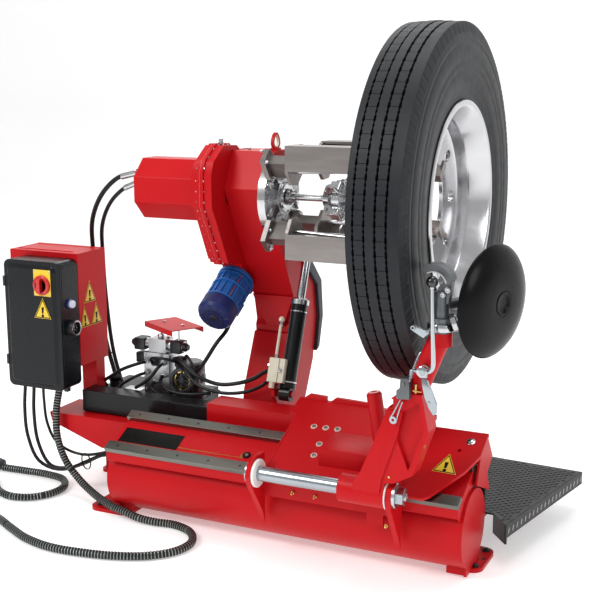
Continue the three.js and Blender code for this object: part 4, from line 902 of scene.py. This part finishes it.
def triangle(name, corners, up, body, slot):
    """Plain yellow triangle with a dark border and a simple bar and dot."""
    up = Vector(up).normalized()
    c = sum((Vector(p) for p in corners), Vector()) / 3
    base = Piece(name + "_plate", body, "yellow", slot)
    base.prism([p + up * 0.15 for p in outset(corners, 1.0)], up * 0.5, 0.2)
    base.done()
    ink = Piece(name + "_ink", body, "ink", slot)
    outer, inner = outset(corners, 0.93), outset(corners, 0.8)
    for i in range(3):
        j = (i + 1) % 3
        ink.prism([p + up * 0.68 for p in (outer[i], outer[j], inner[j], inner[i])], up * 0.12)
    h = Vector(corners[0]) - c
    side = h.cross(up).normalized() * (h.length * 0.11)
    a, b = c + h * 0.32, c - h * 0.14
    ink.prism([p + up * 0.68 for p in (a + side, a - side, b - side * 0.6, b + side * 0.6)], up * 0.14)
    ink.lathe(c - h * 0.3 + up * 0.68, up, [(0, side.length), (0.14, side.length)], 14)
    ink.done()


triangle("hood_mark", on_slope(34, (45, 172), (85, 95), (13, 97)), UP, "carriage", "red_hood")

# ---- control box
p = Piece("door_seal", "door", "rubber")
for z in (392, 797):
    p.box((-1482, -216.5, z - 2), (-1307, -212.6, z + 2), 0.8)
for x in (-1498, -1291):
    p.box((x - 2, -216.5, 406), (x + 2, -212.6, 783), 0.8)
p.done()
p = Piece("door_hinges", "door", "dark_steel")
for z in (450, 720):
    p.rod((-1508.6, -222.6, z), (-1508.6, -222.6, z + 34), 5.2, n=18)
p.done()
Piece("isolator_plate", "door", "yellow").box((-1377, -235.4, 699), (-1309, -232.2, 787),
    1.4).done()
p = Piece("isolator_ring", "knob", "knob")
p.lathe((-1343, -234.0, 736), FRONT, [(0, 30), (1, 33), (7, 33), (9.6, 31), (11, 27)], 48)
p.box((-1350, -255, 711), (-1336, -243.5, 761), 2.4)
p.done()
Piece("isolator_mark", "knob", "nylon").box((-1344.2, -255.6, 740), (-1341.8, -254.9, 757),
    0.2).done()
p = Piece("isolator_screws", "door", "bright")
for x in (-1372, -1314):
    for z in (704, 782):
        p.lathe((x, -235.3, z), FRONT, [(0, 2.6), (0.8, 2.6), (1.2, 2.0), (1.2, 1.0), (0.6, 0.9)], 14)
p.done()
triangle("door_mark", at_y(-233.6, (-1344, 693), (-1312, 624), (-1380, 624)), FRONT, "door", "door_black")
Piece("lamp_base", "base", "lamp", "lamp_lens").lathe((-1280.9, -174, 668), RIGHT,
    [(0, 18), (4, 18), (6.5, 16), (6.5, 13.2)], 32).done()
p = Piece("socket_ring", "base", "bright", "socket_black")
p.ring((-1258, -172, 587), RIGHT, [(-3, 19.5), (-3, 26), (1.0, 26), (2.0, 24.6), (2.0, 21)], 44)
for y, z in around(5, 8):
    p.rod((-1270, -172 + y, 587 + z), (-1261, -172 + y, 587 + z), 1.7, n=10)
p.done()
p = Piece("cable_glands", "base", "guard", "box_black")
for x, y, r in ((-1340, -172, 17), (-1486, -168, 11), (-1446, -172, 11), (-1412, -166, 10)):
    p.lathe((x, y, 378), (0, 0, -1), [(0, r + 3), (4, r + 3), (4.2, r + 2), (10, r + 2), (10.2, r),
        (14, r * 0.92)], 6 if r < 16 else 28)
p.box((-1316, -178, 362), (-1300, -160, 379), 2)
p.done()
Piece("cable_third", "base", "rubber", "box_black").sweep([(-1412, -166, 366), (-1411, -166, 320),
    (-1404, -164, 240), (-1376, -160, 178), (-1330, -152, 146), (-1268, -146, 136), (-1204, -140, 148),
    (-1150, -130, 166)], 5, 10, 12).done()
Piece("cable_ties", "base", "ink", "box_black").ring((-1262, -142, 112), (1, 0.2, 0.35),
    [(-2, 27), (-2, 29), (2, 29), (2, 27)], 28).done()

for name, y0, z0, y1, y2, z1 in (("top", -62, 729, -28, -96, 655), ("left", -96, 648, -64, -119, 573),
        ("right", -28, 648, 4, -58, 573)):
    triangle("side_mark_" + name, [(-1279.6, y0, z0), (-1279.6, y1, z1), (-1279.6, y2, z1)], RIGHT, "base",
        "red_post")
p = Piece("post_fittings", "base", "bright", "red_post")
for z in (470, 800):
    for x in (-1300, -1490):
        p.hexbolt((x, -119.4, z), REAR, 5, 4)
for x in (-1330, -1300):
    p.hexbolt((x, 20, 230), REAR, 7, 5)
p.done()
p = Piece("bracket_lips", "base", "red", "red_post")
p.box((-1556, 16, 826), (-1284, 34, 829.6), 1)
p.box((-1545, -96, 827.4), (-1320, -88, 830.2), 1)
p.done()

# ---- power unit
p = Piece("solenoids", "base", "dark_steel", "valve_metal")
for x0 in (-1180, -1034):
    p.box((x0 - 4, 52, 472), (x0 + 40, 102, 516), 6)
    p.lathe((x0 + (-4 if x0 < -1100 else 40), 77, 494), (-1 if x0 < -1100 else 1, 0, 0),
        [(0, 15), (10, 15), (12, 12), (18, 10)], 24)
p.box((-1182, 60, 425), (-1150, 96, 462), 5)
p.box((-1024, 58, 424), (-990, 94, 460), 5)
p.lathe((-1086, 42, 440), FRONT, [(0, 14), (8, 14), (8.4, 11), (20, 11), (22, 9)], 6)
p.done()
p = Piece("valve_fittings", "base", "bright", "valve_metal")
for x, z in ((-1122, 440), (-1122, 400), (-1052, 440), (-1052, 396), (-1086, 372)):
    p.lathe((x, 42.4, z), FRONT, [(0, 8), (3, 8), (3.2, 9.6), (12, 9.6), (12.4, 7), (20, 6.6)], 6)
for x in (-1128, -1044):
    for z in (340, 462):
        p.socket((x, 42.3, z), FRONT, 4, 4)
p.lathe((-1086, 77, 520), ABOVE, [(-20, 14), (-6, 14), (-5, 10), (4, 10), (5, 12), (12, 12)], 24)
p.done()
Piece("tank_plate", "base", "alu", "tank_black").box((-1236, 60, 321.4), (-1168, 104, 322.9), 0.4).done()
Piece("tank_cap", "base", "ink", "tank_black").lathe((-1285, 80, 343.6), ABOVE,
    [(0, 22), (3, 24), (12, 24), (15, 21), (16, 10)], 12).done()
p = Piece("pump_details", "base", "cast", "pump_grey")
for x, y in around(14, 49):
    p.box((-972 + x - 1.4, 80 + y - 1.4, 342), (-972 + x + 1.4, 80 + y + 1.4, 432), 0.5)
p.ring((-925, 70, 392), RIGHT, [(-3, 14), (-3, 29), (3, 29), (5, 26), (5, 16)], 40)
p.lathe((-972, 80, 440), ABOVE, [(-1, 46), (2, 46), (8, 40), (10, 20)], 32)
p.done()
Piece("pump_ring", "base", "brass", "pump_grey").ring((-972, 29.6, 392), FRONT,
    [(0, 25), (0, 33), (3, 34), (6, 31), (6, 27)], 44).done()
p = Piece("pump_fan", "base", "dark_steel", "pump_grey")
p.ring((-972, 24, 392), FRONT, [(0, 32), (0, 44), (4, 45), (8, 42), (8, 34)], 44)
for (x0, z0), (x1, z1) in zip(around(8, 8), around(8, 38)):
    p.rod((-972 + x0, 20, 392 + z0), (-972 + x1, 20, 392 + z1), 2, n=8)
p.lathe((-972, 28, 392), FRONT, [(0, 12), (8, 12), (11, 9)], 24)
p.done()
p = Piece("power_hoses", "base", "rubber", "tank_black")
for r, *pts in (
        (6, (-1122, 24, 440), (-1134, 2, 438), (-1190, -10, 415), (-1252, 2, 378), (-1296, 30, 350),
         (-1308, 60, 326)),
        (5.5, (-1122, 24, 400), (-1136, 6, 396), (-1178, 0, 372), (-1222, 20, 345), (-1240, 44, 326)),
        (6, (-1052, 24, 440), (-1050, 0, 436), (-1075, -14, 400), (-1110, -14, 372), (-1136, -16, 356)),
        (6, (-1052, 24, 396), (-1046, 2, 384), (-1010, -16, 366), (-960, -18, 358), (-900, -10, 360),
         (-850, 8, 366)),
        (5, (-1086, 20, 440), (-1080, 0, 462), (-1040, -8, 470), (-1000, 6, 462), (-984, 30, 448)),
        (5, (-1086, 24, 372), (-1084, 4, 360), (-1064, -2, 345), (-1040, 6, 334), (-1030, 22, 326)),
        (5, (-1000, 90, 446), (-960, 40, 474), (-924, 20, 440), (-916, 10, 400), (-940, -6, 368),
         (-990, -8, 356))):
    p.sweep(pts, r, 10, 9)
p.done()
p = Piece("cover_posts", "base", "bright", "red_cover")
for x, y in ((-1090, 88), (-1010, 70)):
    p.rod((x, y, 500), (x, y, 562), 3.6, n=14)
for x, y in ((-1090, 106), (-1000, 80)):
    p.hexbolt((x, y, 569.2), ABOVE, 4.4, 3)
p.done()

# ---- hoses between bodies
hose("union_hose_a", [(-1290, 92, 352), (-1338, 110, 470), (-1352, 90, 640), (-1348, 64, 800),
    (-1318, 24, 925), (-1256, 0, 1020), (-1190, 0, 1076), (-1128, 0, 1092), (-1106, 0, 1096)], 8,
    ("union_hose",))
hose("union_hose_b", [(-1270, 100, 330), (-1318, 122, 440), (-1330, 108, 620), (-1322, 84, 790),
    (-1292, 44, 905), (-1236, 16, 988), (-1170, 2, 1040), (-1118, 0, 1062), (-1104, 0, 1066)], 7)
hose("lift_hose_a", [(-1024, 60, 453), (-980, 16, 466), (-900, -6, 426), (-820, 2, 402), (-740, 10, 414),
    (-680, 6, 440), (-648, -8, 462), (-628, -16, 472)], 7,
    ("lift_hose",))
hose("lift_hose_b", [(-1020, 70, 430), (-970, 22, 436), (-890, -8, 392), (-800, -6, 376), (-720, 4, 386),
    (-666, 2, 410), (-634, -14, 432), (-618, -20, 448)], 6)
hose("motor_cable_a", [(-797, 64, 624), (-806, 40, 580), (-826, 4, 540), (-850, -10, 496), (-884, -2, 452),
    (-912, 16, 430)], 7, ("motor_cable",))
p = Piece("union_sleeves", "chuck_arm", "bright", "motor_blue")
p.rod((-1176, 0, 1079.6), (-1112, 0, 1094.8), 11.5, n=24, edge=2)
p.rod((-1166, 2, 1041.6), (-1110, 0, 1064.2), 10.5, n=24, edge=2)
p.done()
Piece("motor_cable_gland", "chuck_arm", "guard", "motor_blue").lathe((-797, 68, 632), (-0.1, -0.5, -0.86),
    [(-8, 13), (0, 13), (0.4, 11), (10, 10)], 6).done()
Piece("hose_ties", "base", "ink", "tank_black").ring((-1334, 104, 430), (-0.2, 0.1, 1),
    [(-2, 21), (-2, 23), (2, 23), (2, 21)], 24).done()

# ---- lift cylinder
LZ = Vector((0, 167, 451)).normalized()
LU = Vector(RIGHT)
LV = LZ.cross(LU)


def C(x, y, z):
    """Cylinder coordinates, with z along its axis from the base pin."""
    return Vector((-566, 0, 400)) + LU * x + LV * y + LZ * z


p = Piece("barrel_gland", "barrel", "bright", "barrel_black")
p.ring(C(0, 0, 293), LZ, [(0, 28.2), (0, 30), (16, 30), (18, 28.2)], 40)
p.ring(C(0, 0, 312.2), LZ, [(0, 14.6), (0, 24), (3, 22), (4, 16)], 36)
for z in (36, 268):
    p.ring(C(0, 0, z), LZ, [(0, 26), (0, 27.4), (4, 27.4), (4, 26)], 36)
p.done()
p = Piece("rod_clevis", "rod", "bright", "rod_chrome")
p.lathe(C(0, 0, 438), LZ, [(0, 16), (2, 19), (16, 19), (20, 16)], 6)
for x in (-20.6, 17.2):
    p.ring(C(x, 0, hypot(167, 451)), LU, [(0, 11), (0, 20), (3.2, 20), (3.2, 11)], 36)
p.done()
p = Piece("valve_pipes", "barrel", "bright", "valve_cream")
p.lathe(C(-38, -38, 104), LZ, [(0, 9), (8, 9), (8.2, 7.5), (16, 7.5)], 6)
p.lathe(C(-38, -38, 218), LZ, [(0, 8), (10, 8), (12, 6)], 6)
for z in (60, 84):
    p.lathe(C(-52, -30, z), LEFT, [(0, 8), (3, 8), (3.2, 6.5), (12, 6.5)], 6)
p.lathe(C(-14, -46, 70), LV * -1, [(0, 7), (6, 7), (7, 5), (12, 4)], 6)
p.done()

# ---- tool
p = Piece("tool_screws", "tool", "brass")
p.hexbolt((39, -408.4, 435), FRONT, 4.6, 4)
p.lathe((-52, -422.2, 338), FRONT, [(0, 4), (2, 4), (3, 3)], 12)
p.rod((20, -424, 584), (20, -424, 606), 3, n=12)
p.rod((14, -430, 592), (34, -418, 588), 2.6, n=12)
p.lathe((20, -424, 604), ABOVE, [(0, 4.6), (5, 4.6), (6, 3)], 6)
p.done()
Piece("tool_strap", "tool", "red").prism(
    at_y(-421.9, (-158, 265), (-158, 309), (-133, 343), (-74, 489), (-58, 529), (-14, 529), (-28, 463),
         (-74, 329), (-80, 265)), (0, -5, 0), 1.4).done()
p = Piece("latch_block", "tool", "cast")
p.prism(at_y(-438, (-30, 566), (7, 568), (7, 590), (4, 626), (-19, 624), (-19, 594), (-30, 590)),
    (0, 32, 0), 1.6)
p.lathe((-10, -438.4, 608), FRONT, [(0, 6), (3, 6), (4, 4.6)], 6)
p.done()
p = Piece("latch_plate", "tool", "shaft")
p.prism(at_y(-438, (38, 632), (56, 628), (70, 598), (84, 566), (84, 540), (74, 532), (62, 552), (50, 580),
             (44, 604)), (0, 7, 0), 1.6)
p.rod((10, -434, 648), (47, -434, 650), 5.4, n=18)
p.lathe((47, -455, 650), REAR, [(0, 8), (2, 9), (6, 9), (8, 8)], 20)
p.box((34, -440, 632), (54, -426, 654), 2.5)
p.rod((46, -430, 640), (46, -415, 640), 5, n=16)
p.rod((62, -441, 566), (62, -424, 566), 4.4, n=16)
p.rod((9, -434, 626), (10, -434, 650), 4, n=14)
p.done()
p = Piece("latch_link", "tool", "shaft")
p.sweep([(-18, -436, 566), (-26, -440, 548), (-36, -441, 526), (-44, -440, 510), (-40, -439, 498),
    (-30, -438, 500), (-26, -438, 514), (-20, -438, 536), (-12, -436, 560)], 2.3, 10, 4)
p.ring((-36, -440, 508), REAR, [(-3, 4), (-3, 10), (3, 10), (3, 4)], 30)
p.sweep([(6, -437, 618), (12, -440, 640), (20, -441, 662), (30, -440, 690), (36, -436, 702)], 1.7, 8, 5)
p.done()
p = Piece("latch_spring", "tool", "shaft")
pts = []
a, b = Vector((8, -438, 622)), Vector((28, -440, 684))
u, v, d = basis(b - a)
for k in range(161):
    t = tau * k / 16
    pts.append(a.lerp(b, k / 160) + (u * cos(t) + v * sin(t)) * 4.2)
p.sweep(pts, 0.9, 6, 0)
p.done()

p = Piece("lever_rod", "lever", "chrome", "lever_chrome", ("lock_lever",))
p.sweep(at_y(-442, (45, 651), (56, 650), (66, 655), (72, 668), (72.4, 690), (70, 760), (67, 830), (65, 880)),
    6.2, 18, 4)
p.lathe((65, -442, 874), (-0.03, 0, 1), [(0, 6.4), (0.5, 8), (6, 8.6), (7, 7)], 24)
p.lathe((45, -454, 652), REAR, [(0, 12), (2, 15), (10, 15), (11, 12), (21, 12), (22, 14.6), (33, 14.6),
    (34, 13)], 32)
p.done()
Piece("lever_ball", "lever", "ball").ball((65, -442, 892), 16, 36).done(60)

HEAD = Vector((76, -388, 749))
p = Piece("head_fittings", "head", "bright")
for x, z in ((84, 854), (97, 867)):
    p.lathe((x, -412, z), FRONT, [(0, 7.6), (1.4, 7.6)], 20)
    p.socket((x, -413.2, z), FRONT, 6, 5)
p.done()
p = Piece("clamp_lever", "tool", "shaft")
p.prism(at_y(-431, (8, 768), (14, 772), (42, 758), (54, 764), (56, 752), (40, 738), (10, 755), (5, 761)),
    (0, 7, 0), 1.2)
p.rod((47, -431, 755), (58, -412, 762), 5, n=16)
p.lathe((11, -431.4, 763), FRONT, [(0, 7), (1.6, 6.4)], 20)
p.done()
# Near-black disc on the clamp lever for its hole: painted shade.
Piece("clamp_hole_shading", "tool", "hole_shade_paint").lathe((11, -432.8, 763), FRONT, [(0, 3.2), (0.4, 3.2)],
    16).done()
p = Piece("hook_liner", "head", "nylon")
arc, arc2 = [], []
for k in range(15):
    t = 0.2 + 1.9 * k / 14
    arc.append((HEAD.x - 18 + 36.4 * cos(t), -411.6, HEAD.z + 128 + 37.2 * sin(t)))
    arc2.append((HEAD.x - 18 + 33.6 * cos(t), -411.6, HEAD.z + 128 + 34.2 * sin(t)))
p.prism(arc + arc2[::-1], (0, 47, 0))
p.done()
p = Piece("neck_collar", "head", "bright")
p.ring(HEAD + Vector((0, 0, 6)), ABOVE, [(0, 29.4), (0, 36), (3, 38), (17, 38), (20, 36), (20, 29.4)], 48)
p.lathe(HEAD + Vector((22, 6, 24)), (0.86, 0.3, 0.3), [(0, 22), (3, 25), (16, 25), (19, 22)], 36)
p.done()
DN = Vector((0.95, -0.31, -0.04)).normalized()
DC = Vector((194, -300, 824))
Piece("disc_body", "disc", "disc", "disc_black", ("bead_disc",)).lathe(DC, DN,
    [(-15.5, 150.5), (-13, 152.6), (-10.4, 154.6), (-8.6, 154.8), (-6, 153), (0, 147), (6, 139.6), (13, 125),
    (20, 106), (24, 86), (26.6, 62), (27, 48), (26.8, 36.4), (25.2, 35.4), (25.2, 33), (27.6, 31.8),
    (28.2, 29), (27.4, 26.6), (24.6, 25), (22.6, 22), (22.2, 12), (22.2, 0.5)], 96).done(50)

Piece("disc_ribs", "disc", "dark_steel").lathe(DC - DN * 15.4, DN, [(0, 27), (1, 29), (4, 29)],
    40).done()

# ---- platform
p = Piece("platform_tread", "carriage", "plate", "platform_black")


def on_top(x, y):
    """Whether a tread mark fits the platform's slanted outline."""
    if y < -40:
        return 146 - (y + 40) * 0.8 < x < 190 + (y + 116) * 0.2
    return -12 < x < 186 + (y + 116) * 110 / 544 and y < 434 - (x + 20) * 24 / 328


row = 0
y = -96
while y < 444:
    x = -14 + (row % 2) * 13
    while x < 306:
        if on_top(x, y):
            t = radians(45 if (row + round(x / 13)) % 2 else -45)
            c, s = cos(t), sin(t)
            oval = [(px * c - py * s, px * s + py * c)
                    for (px, _), (_, py) in zip(around(8, 9.5), around(8, 2.9))]
            p.faces([[(x + px, y + py, 127.9) for px, py in oval],
                     [(x + px * 0.66, y + py * 0.5, 129.5) for px, py in oval]])
        x += 26
    y += 13
    row += 1
p.done(60)
# Thin lighter metal marks on the skirt for its diagonal slots: the slots are real, their light colour is
# painted highlight along the lit slot edges.
p = Piece("platform_slot_highlights", "carriage", "jaw", "platform_black")
N_SLOT = 20
for k in range(N_SLOT):
    f = (k + 0.6) / N_SLOT
    at = Vector((202 + 110 * f, -118 + 548 * f, 106))
    along = Vector((110, 548, 0)).normalized()
    out = Vector((along.y, -along.x, 0))
    p.prism([at + along * dx + Vector((0, 0, dz)) + out * 0.05
             for dx, dz in ((-6, -7), (-3, -9), (1, -8), (5, 3), (4, 8), (0, 9), (-3, 4))], out * 0.5)
p.done()
p = Piece("hanger_bolts", "carriage", "bright")
for x in (76, 94):
    for z in (160, 230):
        p.hexbolt((x, -12, z), REAR, 6, 4.5)
p.done()
p = Piece("foot_bolts", "base", "dark_steel", "red_foot_left")
for x, y in ((-1136, -240), (-1136, -104), (128, -180), (128, -60), (-810, 300), (-570, 300), (-1320, 220)):
    p.lathe((x, y, 12.3), ABOVE, [(0, 13), (2, 13), (2.3, 11)], 24)
    p.hexbolt((x, y, 14), ABOVE, 8, 6, False)
p.done()
# Near-black disc on the right foot for a bolt hole: painted shade.
Piece("foot_hole_shading", "base", "hole_shade_paint", "red_foot_right").lathe((138, -120, 12.05), ABOVE, [(0, 7), (0.2, 7)],
    20).done()

# ---- stage and light
floor_mat = look("floor_pale", (0.86, 0.86, 0.86), 0.75, 0, 0.015, 0.6, 0.02, 40, spec=0.1)
glow = floor_mat.node_tree.nodes["Principled BSDF"]
put(glow, "Emission Color", (1, 1, 1, 1))
put(glow, "Emission Strength", 0.36)
bm = bmesh.new()
rows = []
for y, z in ((-16, 0), (4, 0), (6, 0.25), (7.2, 1.0), (7.8, 2.2), (8, 4), (8, 12)):
    rows.append([bm.verts.new((x, y, z)) for x in (-16, -5, 5, 16)])
for a, b in zip(rows, rows[1:]):
    for i in range(3):
        bm.faces.new((a[i], a[i + 1], b[i + 1], b[i]))
floor = finish_mesh(bm, "studio_floor", floor_mat, None, row=True, angle=60)


def area(name, at, to, size, power, colour=(1, 1, 1)):
    d = bpy.data.lights.new(name, "AREA")
    d.shape, d.size, d.energy, d.color = "DISK", size, power, colour
    o = bpy.data.objects.new(name, d)
    o.location = at
    o.rotation_euler = (Vector(at) - Vector(to)).to_track_quat("Z", "Y").to_euler()
    show(o)


area("key", (-2.6, -4.2, 4.8), (0, 0, 0.6), 2.4, 190)
area("fill", (5.0, -2.0, 2.8), (0.2, 0, 0.8), 2.6, 60)
area("back", (-2.5, 3.5, 4.5), (0, 0, 0.8), 3.0, 50)
area("top", (0.4, 0.4, 5.4), (0, 0, 0), 3.0, 90)
world = bpy.data.worlds.new("world")
bpy.context.scene.world = world
world.use_nodes = True
wn = world.node_tree
sky = wn.nodes["Background"]
put(sky, "Color", (1, 1, 1, 1))
put(sky, "Strength", 0.5)
shown = wn.nodes.new("ShaderNodeBackground")
put(shown, "Strength", 1.0)
path = wn.nodes.new("ShaderNodeLightPath")
mix = wn.nodes.new("ShaderNodeMixShader")
wn.links.new(path.outputs["Is Camera Ray"], mix.inputs["Fac"])
wn.links.new(sky.outputs[0], mix.inputs[1])
wn.links.new(shown.outputs[0], mix.inputs[2])
wn.links.new(mix.outputs[0], wn.nodes["World Output"].inputs["Surface"])
view = bpy.context.scene.view_settings
view.view_transform = "Standard"
view.look = "None"
